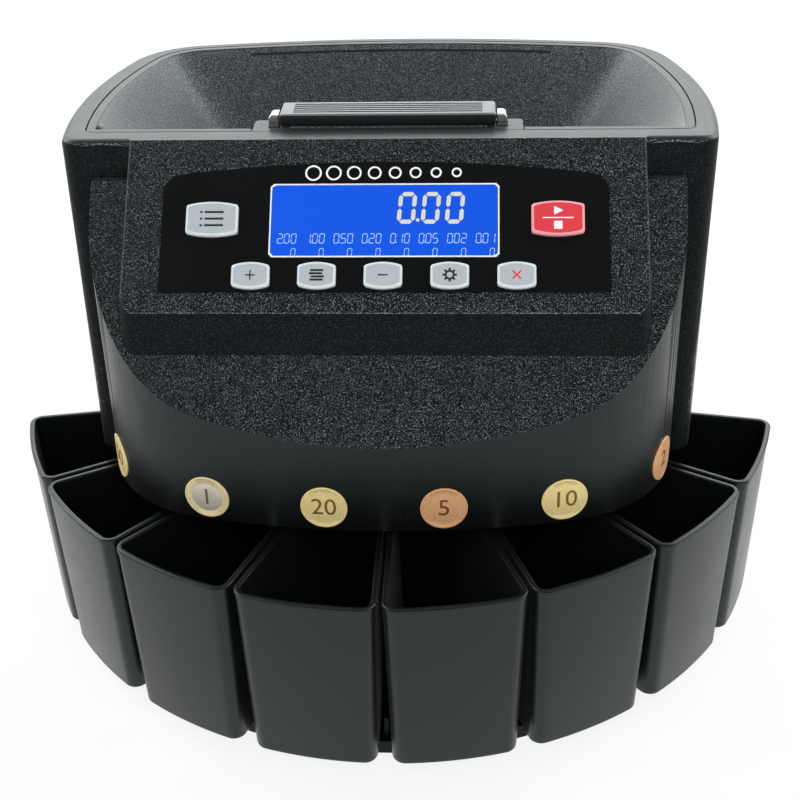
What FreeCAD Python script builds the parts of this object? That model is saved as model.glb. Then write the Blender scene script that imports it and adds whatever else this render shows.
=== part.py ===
import FreeCAD, Part
import math
import os

# Desktop coin sorter: a moulded housing with hopper and control block stands over a fan of coin cups.
# Millimetres, +Z up, front towards -Y. Shapes are drawn about the feeder disc's axis and
# moved at the end so that the origin is the centre of the footprint, on the table.

# Circle that the coins run round, which the cups, the drum and the body follow
fence_radius = 128.0
fence_wall = 2.5

# Fan of coin cups
cup_overhang = 60.7
cup_count = 8
cup_pitch = 19.85
cup_gap = 2.6
cup_inset = 30.0
cup_height = 89.2
cup_wall = 2.2
cup_floor = 2.6
cup_corner = 6.0
cup_taper = 3.4
cup_side_draft = 1.8
cup_lip = 0.35
cup_lip_height = 2.2
cup_seat_gap = 0.3

# Base tray, its ribs and feet
foot_height = 4.0
foot_radius = 9.0
foot_chamfer = 1.0
tray_depth = 7.0
tray_wall = 3.0
tray_edge_gap = 15.6
tray_end_margin = 3.0
rib_thickness = 2.0
rib_height = 11.0
rib_end_gap = 6.0
foot_fan_radius = 148.0
foot_fan_angle = 55.0
foot_side_gap = 47.0
foot_back_gap = 37.0
tray_front_y = -62.0

# Upper housing: plan of the body at the rim, drawn in from there to the deck
wall = 3.0
housing_height = 148.1
deck_gap = 4.0
body_side_gap = 17.4
body_widest_y = -8.4
body_side_radius = 244.0
body_back_room = 10.5
motor_back_room = 20.0
body_back_radius = 590.0
body_rear_corner = 39.0
body_front_corner = 8.0
body_side_draft = 0.9
body_front_rake = 17.6
rim_round = 3.0
rim_plate = 5.0
least_corner = 1.0
housing_boss_radius = 6.0
housing_boss_height = 24.0
housing_boss_back_gap = 56.0

# Front drum of the upper housing
drum_setback = 17.4
drum_front_gap = 8.0
drum_reach = 85.1
drum_front_radius = 367.7
drum_corner = 61.5
strip_drop = 16.6
strip_width = 17.4

# Sloped apron and the control block that stands on it
apron_tilt = 48.6
step_height = 18.8
panel_tilt = 46.0
panel_length = 79.3
step_lean = 10.4
block_corner = 6.0
block_edge = 1.6

# Hopper bowl
rim_side_width = 10.0
rim_front_width = 10.4
rim_back_width = 6.5
seam_front_corner = 5.0
seam_gap = 0.35
lip_depth = 2.0
lip_ledge = 4.0
bowl_wall = 2.5
bowl_round = 3.0
bowl_drop = 108.6
outlet_half_width = 66.0
outlet_widest_y = 8.0
outlet_side_radius = 80.0
outlet_setback = 19.4
outlet_back_gap = 37.0
outlet_back_radius = 120.0
outlet_rear_corner = 30.0
outlet_front_corner = 20.0

# Control panel, measured down the slope from the rim's front edge
overlay_thickness = 0.4
overlay_half_width = 96.2
overlay_top = 10.9
overlay_shoulder = 16.2
overlay_corner = 9.0
overlay_bottom = 70.2
window_width = 98.7
window_height = 33.5
window_top = 21.0
window_border = 2.0
window_corner = 1.6
panel_clearance = 0.25
key_bow = 1.5
key_proud = 1.7
key_clearance = 0.35
key_flange = 1.2
key_flange_thickness = 1.2
key_stop_gap = 0.05
key_post_radius = 2.4
key_travel = 0.8
switch_size = 6.0
large_key_size = (22.6, 15.8)
large_key_x = 74.2
large_key_down = 37.4
small_key_size = (16.4, 12.0)
small_key_pitch = 28.3
small_key_down = 62.9
board_depth = 10.4
board_thickness = 1.6
board_half_width = 92.0
board_top = 15.0
board_bottom = 72.0
board_boss_radius = 3.5
board_boss_inset = 5.0

# Carrying handle
grip_length = 96.2
grip_depth = 18.0
grip_height = 5.8
grip_setback = 13.9
grip_round = 1.4
grip_rest_gap = 0.6
groove_count = 5
groove_width = 1.2
groove_depth = 0.7
groove_end = 6.0
groove_margin = 2.4
strap_width = 4.6
strap_depth = 7.0
strap_gap = 0.3
strap_setback = 19.5
strap_stop_gap = 0.5
strap_foot_height = 3.0
strap_foot_grow = 0.8
strap_end_gap = 0.5
strap_tang = 2.0
handle_lift = 26.0
guide_wall = 1.4
guide_drop = 8.0
guide_tab_reach = 4.5
guide_tab_ear = 2.0
guide_tab_round = 2.0

# Coin discs stuck on the drum and the body's sides
badge_radius = 10.3
badge_thickness = 0.35
badge_glue = 0.05
badge_height = 11.8
badge_side_angle = 90.0
badge_xs = (26.0, 78.2)
badge_corner_back = 42.0
badge_side_back = 34.0

# Lower housing and deck plate
lower_inset = 1.5
lower_fan_gap = 4.2
lower_arc_gap = 4.0
lower_flange = 14.0
deck_thickness = 2.0
deck_gap_round = 0.6
deck_hole_gap = 1.5

# Sorting ring, chutes and sensors
coin_diameters = (25.75, 24.25, 23.25, 22.25, 21.25, 19.75, 18.75, 16.25)
coin_slot_play = 0.5
fence_height = 11.5
ring_width = 39.0
ring_thickness = 4.0
ring_rear_wall = 3.5
chute_height = 20.0
chute_inner_gap = 31.0
chute_wall = 3.0
chute_web = 7.0
sensor_thickness = 2.0
sensor_height = 12.0
sensor_eye = 5.0
sensor_floor_gap = 3.0

# Feeder disc and drive
disc_clearance = 0.6
disc_thickness = 4.5
disc_cone_radius = 26.0
disc_cone_height = 13.0
shaft_radius = 4.0
shaft_collar_radius = 6.0
shaft_end = 4.0
running_clearance = 0.04
bearing_radius = 11.0
bearing_width = 7.0
hub_radius = 15.0
hub_flange_radius = 25.0
hub_flange_thickness = 4.0
hub_length = 28.5
gear_module = 1.5
gear_teeth = 72
pinion_teeth = 12
gear_width = 8.0
gear_floor_gap = 2.5
gear_hub_radius = 12.0
gear_backlash = 0.3
pressure_angle = 20.0
tooth_addendum = 0.85
tooth_dedendum = 1.15
motor_radius = 18.0
motor_length = 34.0
gearbox_radius = 19.0
gearbox_length = 22.0
motor_shaft_radius = 3.0

# Rear panel with inlet and rocker switch
panel_width = 120.0
panel_height = 50.0
panel_plate = 2.5
panel_frame = 6.0
panel_recess = 5.5
panel_centre_z = 58.0
inlet_x = 38.0
inlet_size = (28.0, 20.0)
inlet_flange = (36.0, 27.0)
inlet_depth = 20.0
inlet_pin_width = 1.5
inlet_pin_height = 4.0
inlet_pin_offset = 2.0
switch_x = -34.0
switch_bezel = (15.0, 21.0)
switch_depth = 18.0
rocker_size = (10.0, 16.0)
rocker_proud = 2.2
rocker_gap = 0.3
vent_count = 5
vent_pitch = 5.0
vent_width = 2.2
vent_length = 28.0
vent_x = -5.0

# Electronics inside the lower housing
supply_size = (52.0, 74.0, 34.0)
supply_side_gap = 61.0
supply_back_gap = 67.0
main_board_size = (1.6, 76.0, 66.0)
main_board_side_gap = 43.0
main_board_back_gap = 71.0
chip_shares = ((-0.2, 0.6, 0.18, 0.03), (0.22, 0.62, 0.14, 0.03),
               (-0.25, 0.22, 0.23, 0.12), (0.2, 0.25, 0.16, 0.15))
screw_radius = 1.5
screw_head_radius = 2.9
screw_head_height = 1.6

# Heights and places that follow from the sizes above
cut_margin = wall / 3
pick_slack = cut_margin / 10
fan_radius = fence_radius + cup_overhang
cup_inner_radius = fence_radius - cup_inset
ring_outer_radius = fence_radius + fence_wall
ring_inner_radius = fence_radius - ring_width
chute_inner_radius = fence_radius - chute_inner_gap
body_half_width = ring_outer_radius + body_side_gap
drum_half_width = body_half_width - drum_setback
drum_front_y = -(ring_outer_radius + drum_front_gap)
body_front_y = drum_front_y + drum_reach
gear_radius = gear_module * gear_teeth / 2
pinion_radius = gear_module * pinion_teeth / 2
motor_y = gear_radius + pinion_radius
body_back_y = max(ring_inner_radius + ring_rear_wall + body_back_room,
                  motor_y + gearbox_radius + motor_back_room)
outlet_front_y = body_front_y + outlet_setback
outlet_back_y = body_back_y - outlet_back_gap
grip_front_y = body_front_y + grip_setback
strap_y = body_front_y + strap_setback
supply_x = body_half_width - supply_side_gap
supply_y = body_back_y - supply_back_gap
main_board_x = main_board_side_gap - body_half_width
main_board_y = body_back_y - main_board_back_gap
foot_rear_x = body_half_width - foot_side_gap
foot_rear_y = body_back_y - foot_back_gap
badge_corner_y = drum_front_y + badge_corner_back
badge_side_y = body_front_y + badge_side_back
block_half_width = drum_half_width - strip_width
tray_top = foot_height + tray_depth
cup_floor_z = tray_top + cup_seat_gap
cup_top_z = cup_floor_z + cup_height
deck_z = cup_top_z + deck_gap
deck_top = deck_z + deck_thickness
rim_z = deck_z + housing_height
strip_z = rim_z - strip_drop
ring_top = deck_top + chute_height + ring_thickness
disc_bottom = ring_top - disc_thickness
tray_radius = fan_radius - cup_taper - tray_edge_gap
lower_arc_radius = cup_inner_radius - lower_arc_gap
mesh_angle = math.degrees(math.atan2(motor_y, 0.0))
gear_bottom = deck_top + gear_floor_gap
grip_bottom = rim_z + grip_rest_gap
guide_depth = guide_drop + handle_lift + strap_foot_height + 2 * strap_stop_gap
strap_length = guide_drop + handle_lift + strap_foot_height + strap_stop_gap
fan_end_angle = cup_count * cup_pitch / 2
lower_front_y = lower_fan_gap - (cup_inner_radius + rib_end_gap) * math.cos(math.radians(fan_end_angle))
fan_front_angle = math.asin((cup_gap / 2 + cup_corner) / (fan_radius - cup_corner - cup_lip))
fan_front_reach = fan_radius * math.cos(fan_front_angle)
axis_y = (fan_front_reach - body_back_y) / 2


def vec(x, y, z=0.0):
    return FreeCAD.Vector(x, y, z)


def line(start, end):
    return Part.LineSegment(start, end).toShape()


def arc_about(centre, start, end):
    """Arc of less than a half turn about centre, from start to end."""
    radius = (start - centre).Length
    middle = (start - centre) + (end - centre)
    return Part.Arc(start, centre + middle * (radius / middle.Length), end).toShape()


def towards(origin, target, distance):
    step = target - origin
    return origin + step * (distance / step.Length)


def circles_meet(centre_a, radius_a, centre_b, radius_b):
    """Meeting point of two circles that lies further to +X."""
    gap = centre_b - centre_a
    along = (radius_a ** 2 - radius_b ** 2 + gap.Length ** 2) / (2 * gap.Length)
    across = math.sqrt(radius_a ** 2 - along ** 2)
    foot = centre_a + gap * (along / gap.Length)
    side = vec(-gap.y, gap.x) * (across / gap.Length)
    return max(foot + side, foot - side, key=lambda point: point.x)


def lines_meet(point, direction, other, other_direction):
    """Meeting point of two lines given as (y, z) pairs."""
    det = direction[0] * -other_direction[1] + other_direction[0] * direction[1]
    dy, dz = other[0] - point[0], other[1] - point[1]
    t = (dy * -other_direction[1] + other_direction[0] * dz) / det
    return (point[0] + t * direction[0], point[1] + t * direction[1])


def mirrored(point):
    return vec(-point.x, point.y, point.z)


def prism(wire, height):
    return Part.Face(wire).extrude(vec(0, 0, height))


def yz_prism(points, half_width):
    """Side profile of (y, z) points carried across the machine from -half_width to +half_width."""
    ring = [vec(-half_width, y, z) for y, z in points]
    return Part.Face(Part.makePolygon(ring + [ring[0]])).extrude(vec(2 * half_width, 0, 0))


def box(low, high):
    return Part.makeBox(high[0] - low[0], high[1] - low[1], high[2] - low[2], vec(*low))


def cylinder(radius, low_z, high_z, x=0.0, y=0.0):
    return Part.makeCylinder(radius, high_z - low_z, vec(x, y, low_z))


def through(radius, low_z, high_z, x=0.0, y=0.0):
    """Round hole that runs past both faces it cuts."""
    return cylinder(radius, low_z - cut_margin, high_z + cut_margin, x, y)


def loft(lower, upper):
    """Ruled solid between two outlines."""
    return Part.makeLoft([lower, upper], True, True)


def turned(shape, angle):
    copy = shape.copy()
    copy.rotate(vec(0, 0, 0), vec(0, 0, 1), angle)
    return copy


def rounded_rectangle(width, height, corner, centre_x=0.0, centre_y=0.0, z=0.0):
    """Rectangle with round corners, drawn anticlockwise."""
    edges = []
    signs = [(1, -1), (1, 1), (-1, 1), (-1, -1)]
    arcs = []
    for index, (sx, sy) in enumerate(signs):
        centre = vec(centre_x + sx * (width / 2 - corner), centre_y + sy * (height / 2 - corner), z)
        flat = vec(centre.x, centre.y + sy * corner, z)
        upright = vec(centre.x + sx * corner, centre.y, z)
        ends = (flat, upright) if index % 2 == 0 else (upright, flat)
        arcs.append((centre, ends[0], ends[1]))
    for index, (centre, start, end) in enumerate(arcs):
        edges.append(arc_about(centre, start, end))
        edges.append(line(end, arcs[(index + 1) % len(arcs)][1]))
    return Part.Wire(edges)


# Plan of the body: straight front, bowed sides, round rear corners and a bowed back

class Plan:
    def __init__(self, half_width, widest_y, side_radius, front_y, back_y, back_radius,
                 rear_corner, front_corner):
        self.half_width = half_width
        self.widest_y = widest_y
        self.side_radius = side_radius
        self.front_y = front_y
        self.back_y = back_y
        self.back_radius = back_radius
        self.rear_corner = rear_corner
        self.front_corner = front_corner

    def inset(self, depth, front_depth=None):
        front = depth if front_depth is None else front_depth
        return Plan(self.half_width - depth, self.widest_y, self.side_radius - depth, self.front_y + front,
                    self.back_y - depth, self.back_radius - depth, self.rear_corner - depth,
                    max(self.front_corner - depth, least_corner))

    def outline(self, z):
        side = vec(self.half_width - self.side_radius, self.widest_y)
        back = vec(0, self.back_y - self.back_radius)
        front_y = self.front_y + self.front_corner
        reach = self.side_radius - self.front_corner
        front = vec(side.x + math.sqrt(reach ** 2 - (front_y - side.y) ** 2), front_y)
        rear = circles_meet(side, self.side_radius - self.rear_corner,
                            back, self.back_radius - self.rear_corner)
        corner_start = vec(front.x, self.front_y)
        side_start = towards(side, front, self.side_radius)
        side_end = towards(side, rear, self.side_radius)
        back_start = towards(back, rear, self.back_radius)
        right = [arc_about(front, corner_start, side_start), arc_about(side, side_start, side_end),
                 arc_about(rear, side_end, back_start)]
        left = [arc_about(mirrored(rear), mirrored(back_start), mirrored(side_end)),
                arc_about(mirrored(side), mirrored(side_end), mirrored(side_start)),
                arc_about(mirrored(front), mirrored(side_start), mirrored(corner_start))]
        edges = [line(mirrored(corner_start), corner_start)] + right
        edges += [arc_about(back, back_start, mirrored(back_start))] + left
        wire = Part.Wire(edges)
        wire.translate(vec(0, 0, z))
        return wire

    def side_x(self, y):
        reach = math.sqrt(self.side_radius ** 2 - (y - self.widest_y) ** 2)
        return self.half_width - self.side_radius + reach


rim_plan = Plan(body_half_width, body_widest_y, body_side_radius, body_front_y, body_back_y,
                body_back_radius, body_rear_corner, body_front_corner)
deck_plan = rim_plan.inset(body_side_draft, -body_front_rake)
deck_plan.front_corner = body_front_corner
seam_plan = rim_plan.inset(rim_side_width, rim_front_width)
seam_plan.back_y = body_back_y - rim_back_width
seam_plan.front_corner = seam_front_corner
outlet_plan = Plan(outlet_half_width, outlet_widest_y, outlet_side_radius, outlet_front_y, outlet_back_y,
                   outlet_back_radius, outlet_rear_corner, outlet_front_corner)
lower_plan = deck_plan.inset(lower_inset)
lower_plan.front_y = lower_front_y
tray_plan = deck_plan.inset(lower_inset)
tray_plan.front_y = tray_front_y


def drum_outline(z, inset=0.0):
    """Drum plan: bowed front, round corners and straight sides that run back into the body."""
    middle = vec(0, drum_front_y + drum_front_radius)
    corner_x = drum_half_width - drum_corner
    corner = vec(corner_x, middle.y - math.sqrt((drum_front_radius - drum_corner) ** 2 - corner_x ** 2))
    front_end = towards(middle, corner, drum_front_radius - inset)
    side_start = vec(drum_half_width - inset, corner.y)
    side_end = vec(drum_half_width - inset, body_widest_y)
    edges = [arc_about(middle, mirrored(front_end), front_end), arc_about(corner, front_end, side_start),
             line(side_start, side_end), line(side_end, mirrored(side_end)),
             line(mirrored(side_end), mirrored(side_start)),
             arc_about(mirrored(corner), mirrored(side_start), mirrored(front_end))]
    wire = Part.Wire(edges)
    wire.translate(vec(0, 0, z))
    return wire


def drum_front_at(x):
    """Y of the drum's bowed front face at x."""
    return drum_front_y + drum_front_radius - math.sqrt(drum_front_radius ** 2 - x ** 2)


def drum_corner_at(y):
    """X of the drum's round corner at y."""
    corner_x = drum_half_width - drum_corner
    reach = math.sqrt((drum_front_radius - drum_corner) ** 2 - corner_x ** 2)
    corner_y = drum_front_y + drum_front_radius - reach
    return corner_x + math.sqrt(drum_corner ** 2 - (y - corner_y) ** 2)


# Side profile of apron, step and control block, as (y, z) points

def slope(angle):
    return (math.cos(math.radians(angle)), math.sin(math.radians(angle)))


def step_foot():
    """Where the step below the control block meets the apron."""
    along = slope(panel_tilt)
    lean = math.radians(step_lean)
    edge = (body_front_y - panel_length * along[0], rim_z - panel_length * along[1])
    return (edge[0] - step_height * math.sin(lean), edge[1] - step_height * math.cos(lean))


def apron_at(y, depth=0.0):
    """Height of the apron at y, depth below its surface."""
    foot = step_foot()
    rise = math.tan(math.radians(apron_tilt))
    return foot[1] + rise * (y - foot[0]) - depth / math.cos(math.radians(apron_tilt))


def apron_y(z, depth=0.0):
    """Y where the apron, depth below its surface, reaches height z."""
    rise = math.tan(math.radians(apron_tilt))
    return (z - apron_at(0.0, depth)) / rise


def block_profile(depth=0.0, top=None):
    """Top edge, lower edge and step foot of the control block, depth inside its surfaces."""
    along = slope(panel_tilt)
    top_z = rim_z if top is None else top
    face = (body_front_y + depth * along[1], rim_z - depth * along[0])
    upper = lines_meet(face, along, (0.0, top_z), (1.0, 0.0))
    edge = (body_front_y - panel_length * along[0], rim_z - panel_length * along[1])
    down = (-math.sin(math.radians(step_lean)), -math.cos(math.radians(step_lean)))
    step = (edge[0] - depth * down[1], edge[1] + depth * down[0])
    lower = lines_meet(face, along, step, down)
    foot = lines_meet(step, down, (drum_front_y, apron_at(drum_front_y, depth + wall)), slope(apron_tilt))
    return [upper, lower, foot]


panel_place = FreeCAD.Placement(vec(0, body_front_y, rim_z), FreeCAD.Rotation(vec(1, 0, 0), panel_tilt))


def on_panel(shape):
    """Moves a shape drawn flat, with y up the slope and z out of the face, onto the control block."""
    copy = shape.copy()
    copy.Placement = panel_place.multiply(copy.Placement)
    return copy


# Coin cups, base tray and feet

def cup_outline(z, outer_radius, inner_radius, side_gap, corner):
    """Wedge between two circles, with sides a fixed distance from the gap lines and round corners."""
    half = math.radians(cup_pitch / 2)
    along = vec(math.sin(half), -math.cos(half))
    inward = vec(-math.cos(half), -math.sin(half))
    depth = side_gap + corner

    def corner_centre(radius):
        return along * math.sqrt(radius ** 2 - depth ** 2) + inward * depth

    outer = corner_centre(outer_radius - corner)
    inner = corner_centre(inner_radius + corner)
    outer_arc_end = towards(vec(0, 0), outer, outer_radius)
    inner_arc_end = towards(vec(0, 0), inner, inner_radius)
    outer_side = outer - inward * corner
    inner_side = inner - inward * corner
    centre = vec(0, 0)
    edges = [arc_about(centre, mirrored(outer_arc_end), outer_arc_end),
             arc_about(outer, outer_arc_end, outer_side), line(outer_side, inner_side),
             arc_about(inner, inner_side, inner_arc_end),
             arc_about(centre, inner_arc_end, mirrored(inner_arc_end)),
             arc_about(mirrored(inner), mirrored(inner_arc_end), mirrored(inner_side)),
             line(mirrored(inner_side), mirrored(outer_side)),
             arc_about(mirrored(outer), mirrored(outer_side), mirrored(outer_arc_end))]
    wire = Part.Wire(edges)
    wire.translate(vec(0, 0, z))
    return wire


def cup_section(z, inset):
    """Cup plan at a height, drafted towards the floor and inset by a wall."""
    share = (cup_top_z - z) / cup_height
    return cup_outline(z, fan_radius - cup_lip - cup_taper * share - inset, cup_inner_radius + inset,
                       cup_gap / 2 + cup_side_draft * share + inset, cup_corner - inset)


def coin_cup():
    body = loft(cup_section(cup_floor_z, 0.0), cup_section(cup_top_z, 0.0))
    lip_z = cup_top_z - cup_lip_height
    lip = prism(cup_outline(lip_z, fan_radius, cup_inner_radius - cup_lip, cup_gap / 2 - cup_lip,
                            cup_corner + cup_lip), cup_lip_height)
    inside = loft(cup_section(cup_floor_z + cup_floor, cup_wall),
                  cup_section(cup_top_z + cut_margin, cup_wall))
    return body.fuse(lip).cut(inside).removeSplitter()


def cup_angle(index):
    return (index - (cup_count - 1) / 2) * cup_pitch


def fan_sector(radius, half_angle, low_z, height):
    """Pie slice about the axis, open towards the front."""
    half = math.radians(half_angle)
    end = vec(radius * math.sin(half), -radius * math.cos(half), low_z)
    front = vec(0, -radius, low_z)
    centre = vec(0, 0, low_z)
    edges = [line(centre, mirrored(end)), Part.Arc(mirrored(end), front, end).toShape(), line(end, centre)]
    return prism(Part.Wire(edges), height)


def tray_solid(inset, low_z, height):
    """Footprint of the base: the fan of cups joined to the body's rear plan."""
    end_angle = fan_end_angle + math.degrees((tray_end_margin - inset) / tray_radius)
    fan = fan_sector(tray_radius - inset, end_angle, low_z, height)
    return fan.fuse(prism(tray_plan.inset(inset).outline(low_z), height)).removeSplitter()


def foot_places():
    front = [(foot_fan_radius * math.sin(math.radians(a)), -foot_fan_radius * math.cos(math.radians(a)))
             for a in (-foot_fan_angle, 0.0, foot_fan_angle)]
    return front + [(-foot_rear_x, foot_rear_y), (foot_rear_x, foot_rear_y)]


def locating_rib(angle):
    low, high = cup_inner_radius + rib_end_gap, tray_radius - tray_wall
    half = rib_thickness / 2
    return turned(box((-half, -high, tray_top), (half, -low, tray_top + rib_height)), angle)


def tray_ribs():
    """Ribs that stand on the tray between the cups and at both ends of the fan."""
    angles = [(index - cup_count / 2) * cup_pitch for index in range(cup_count + 1)]
    return Part.makeCompound([locating_rib(angle) for angle in angles])


def base_tray():
    hollow = tray_solid(tray_wall, foot_height - cut_margin, tray_depth + cut_margin - tray_wall)
    tray = tray_solid(0.0, foot_height, tray_depth).cut(hollow)
    bosses = [cylinder(foot_radius + tray_wall, foot_height, tray_top - tray_wall / 2, x, y)
              for x, y in foot_places()]
    return tray.multiFuse(bosses).removeSplitter()


def rubber_feet():
    feet = []
    for x, y in foot_places():
        foot = cylinder(foot_radius, 0.0, foot_height, x, y)
        low_edge = [edge for edge in foot.Edges if edge.BoundBox.ZMax < foot_height / 2]
        feet.append(foot.makeChamfer(foot_chamfer, low_edge[:1]))
    return Part.makeCompound(feet)


# Upper housing and hopper bowl

def housing_boss_places():
    """Screw bosses that grow out of the side walls, two behind the chutes and two at the rear."""
    reach = wall + housing_boss_radius - cut_margin
    places = []
    for y in (lower_front_y + wall + housing_boss_radius, body_back_y - housing_boss_back_gap):
        x = deck_plan.side_x(y) - reach
        places += [(-x, y), (x, y)]
    return places


def housing_outside():
    body = loft(deck_plan.outline(deck_z), rim_plan.outline(rim_z))
    rim_edges = [edge for edge in body.Edges if edge.BoundBox.ZMin > rim_z - pick_slack]
    body = body.makeFillet(rim_round, rim_edges)
    front = drum_front_y - wall
    drum_side = [(front, deck_z), (front, apron_at(front)), (apron_y(strip_z), strip_z),
                 (body_widest_y, strip_z), (body_widest_y, deck_z)]
    drum = prism(drum_outline(deck_z), strip_z - deck_z).common(yz_prism(drum_side, drum_half_width))
    upper, lower, foot = block_profile()
    inside_y = foot[0] + panel_length / 2
    side = [upper, lower, foot, (inside_y, foot[1]), (body_front_y + 2 * wall, rim_z)]
    block = yz_prism(side, block_half_width)
    step_edges = [edge for edge in block.Edges if edge.BoundBox.ZMax < lower[1] + pick_slack
                  and edge.BoundBox.YMax < lower[0] + pick_slack and edge.BoundBox.XLength < pick_slack]
    block = block.makeFillet(block_corner, step_edges)
    face_edges = [edge for edge in block.Edges if edge.BoundBox.YMax < body_front_y + pick_slack
                  and lower[1] - pick_slack < edge.BoundBox.ZMin < rim_z - pick_slack]
    block = block.makeFillet(block_edge, face_edges)
    return body.multiFuse([drum, block])


def housing_inside():
    low = deck_z - cut_margin
    ceiling = rim_z - rim_plate
    body = loft(deck_plan.inset(wall).outline(low), rim_plan.inset(wall).outline(ceiling))
    front = drum_front_y - wall
    top = strip_z - wall
    drum_side = [(front, low), (front, apron_at(front, wall)), (apron_y(top, wall), top),
                 (body_widest_y, top), (body_widest_y, low)]
    drum = prism(drum_outline(low, wall), top - low).common(yz_prism(drum_side, drum_half_width))
    upper, lower, foot = block_profile(wall, ceiling)
    inside_y = foot[0] + panel_length / 2
    side = [upper, lower, foot, (inside_y, foot[1]), (seam_plan.front_y - wall, ceiling)]
    block = yz_prism(side, block_half_width - wall)
    return body.multiFuse([drum, block])


def board_boss_places():
    x = board_half_width - board_boss_inset
    downs = (board_top + board_boss_inset, board_bottom - board_boss_inset)
    return [(side * x, -down) for side in (-1, 1) for down in downs]


def upper_housing():
    shell = housing_outside().cut(housing_inside())
    rim_low, rim_high = rim_z - rim_plate - cut_margin, rim_z + cut_margin
    rim_hole = prism(seam_plan.outline(rim_z - lip_depth), lip_depth + cut_margin)
    bowl_hole = prism(seam_plan.inset(lip_ledge).outline(rim_low), rim_high - rim_low)
    bosses = [cylinder(housing_boss_radius, deck_top, deck_top + housing_boss_height, x, y)
              for x, y in housing_boss_places()]
    bores = [cylinder(screw_radius, deck_top - cut_margin, deck_top + housing_boss_height / 2, x, y)
             for x, y in housing_boss_places()]
    pillars = [on_panel(cylinder(board_boss_radius, -board_depth, -wall / 2, x, y))
               for x, y in board_boss_places()]
    shell = shell.multiFuse(bosses + pillars)
    holes = [rim_hole, bowl_hole] + bores + [on_panel(hole) for hole in panel_holes(-wall * 2, cut_margin)]
    holes += [guide_solid(side, strap_gap / 2, rim_low, rim_high) for side in (-1, 1)]
    return shell.cut(holes[0].multiFuse(holes[1:])).removeSplitter()


def hopper_bowl():
    """Funnel insert: a flat lip in the rim's rebate, a flared mouth and walls drawn in to the outlet."""
    top = rim_z - lip_depth
    bottom = rim_z - bowl_drop
    neck = seam_plan.inset(lip_ledge + seam_gap)
    mouth_z = rim_z - bowl_round
    lip = prism(seam_plan.inset(seam_gap).outline(top), lip_depth)
    funnel = loft(outlet_plan.outline(bottom), neck.outline(top))
    throat = neck.inset(bowl_wall)
    inside = loft(outlet_plan.inset(bowl_wall).outline(bottom - cut_margin), throat.outline(mouth_z))
    flare = loft(throat.outline(mouth_z), neck.outline(rim_z))
    notches = [guide_solid(side, seam_gap, rim_z - guide_depth, rim_z + cut_margin) for side in (-1, 1)]
    notches += [guide_tab(side, seam_gap, rim_z + cut_margin) for side in (-1, 1)]
    return lip.fuse(funnel).cut(inside.multiFuse([flare] + notches)).removeSplitter()


# Control panel

def key_outline(size, grow, z, x, y):
    """Key plan: straight sides, bowed top and bottom."""
    half_w = size[0] / 2 + grow
    half_h = size[1] / 2 + grow
    side_h = half_h - key_bow
    points = [vec(x + half_w, y + side_h, z), vec(x, y + half_h, z), vec(x - half_w, y + side_h, z),
              vec(x - half_w, y - side_h, z), vec(x, y - half_h, z), vec(x + half_w, y - side_h, z)]
    edges = [Part.Arc(points[0], points[1], points[2]).toShape(), line(points[2], points[3]),
             Part.Arc(points[3], points[4], points[5]).toShape(), line(points[5], points[0])]
    return Part.Wire(edges)


def key_places():
    """Name, size and centre of each key, y up the slope."""
    keys = [("key_report", large_key_size, -large_key_x, -large_key_down),
            ("key_start_stop", large_key_size, large_key_x, -large_key_down)]
    names = ("key_plus", "key_batch", "key_minus", "key_set", "key_clear")
    for index, name in enumerate(names):
        x = (index - (len(names) - 1) / 2) * small_key_pitch
        keys.append((name, small_key_size, x, -small_key_down))
    return keys


def window_outline(inset, z):
    return rounded_rectangle(window_width - 2 * inset, window_height - 2 * inset, window_corner,
                             0.0, -window_top - window_height / 2, z)


def panel_holes(low, high):
    """Openings through the control block's face for the window and the keys."""
    holes = [prism(window_outline(window_border, low), high - low)]
    for name, size, x, y in key_places():
        holes.append(prism(key_outline(size, key_clearance, low, x, y), high - low))
    return holes


def panel_overlay():
    corner_y = -overlay_shoulder - overlay_corner
    shoulder_x = overlay_half_width - overlay_corner
    shoulder = vec(shoulder_x, -overlay_shoulder)
    side = vec(overlay_half_width, corner_y)
    foot = vec(overlay_half_width, -overlay_bottom)
    centre = vec(shoulder_x, corner_y)
    edges = [line(mirrored(foot), foot), line(foot, side), arc_about(centre, side, shoulder),
             Part.Arc(shoulder, vec(0, -overlay_top), mirrored(shoulder)).toShape(),
             arc_about(mirrored(centre), mirrored(shoulder), mirrored(side)),
             line(mirrored(side), mirrored(foot))]
    sheet = prism(Part.Wire(edges), overlay_thickness)
    holes = panel_holes(-cut_margin, overlay_thickness + cut_margin)[1:]
    holes.append(prism(window_outline(-panel_clearance, -cut_margin), overlay_thickness + 2 * cut_margin))
    return on_panel(sheet.cut(holes[0].multiFuse(holes[1:])))


def display_window():
    plate = prism(window_outline(0.0, 0.0), overlay_thickness)
    lens = prism(window_outline(window_border + panel_clearance, -wall), wall)
    return on_panel(plate.fuse(lens).removeSplitter())


def display_module():
    depth = board_depth - wall - panel_clearance
    return on_panel(prism(window_outline(window_border / 2, -board_depth), depth))


def panel_key(size, x, y):
    flange_top = -wall - key_stop_gap
    flange_low = flange_top - key_flange_thickness
    cap = prism(key_outline(size, 0.0, flange_low, x, y), key_proud - flange_low)
    top_edges = [edge for edge in cap.Edges if edge.BoundBox.ZMin > key_proud - pick_slack]
    cap = cap.makeFillet(key_flange / 2, top_edges)
    flange = prism(key_outline(size, key_flange, flange_low, x, y), key_flange_thickness)
    post_low = -board_depth + key_travel + 2 * panel_clearance + switch_height()
    post = cylinder(key_post_radius, post_low, flange_low, x, y)
    return on_panel(cap.multiFuse([flange, post]).removeSplitter())


def switch_height():
    return key_travel


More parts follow.
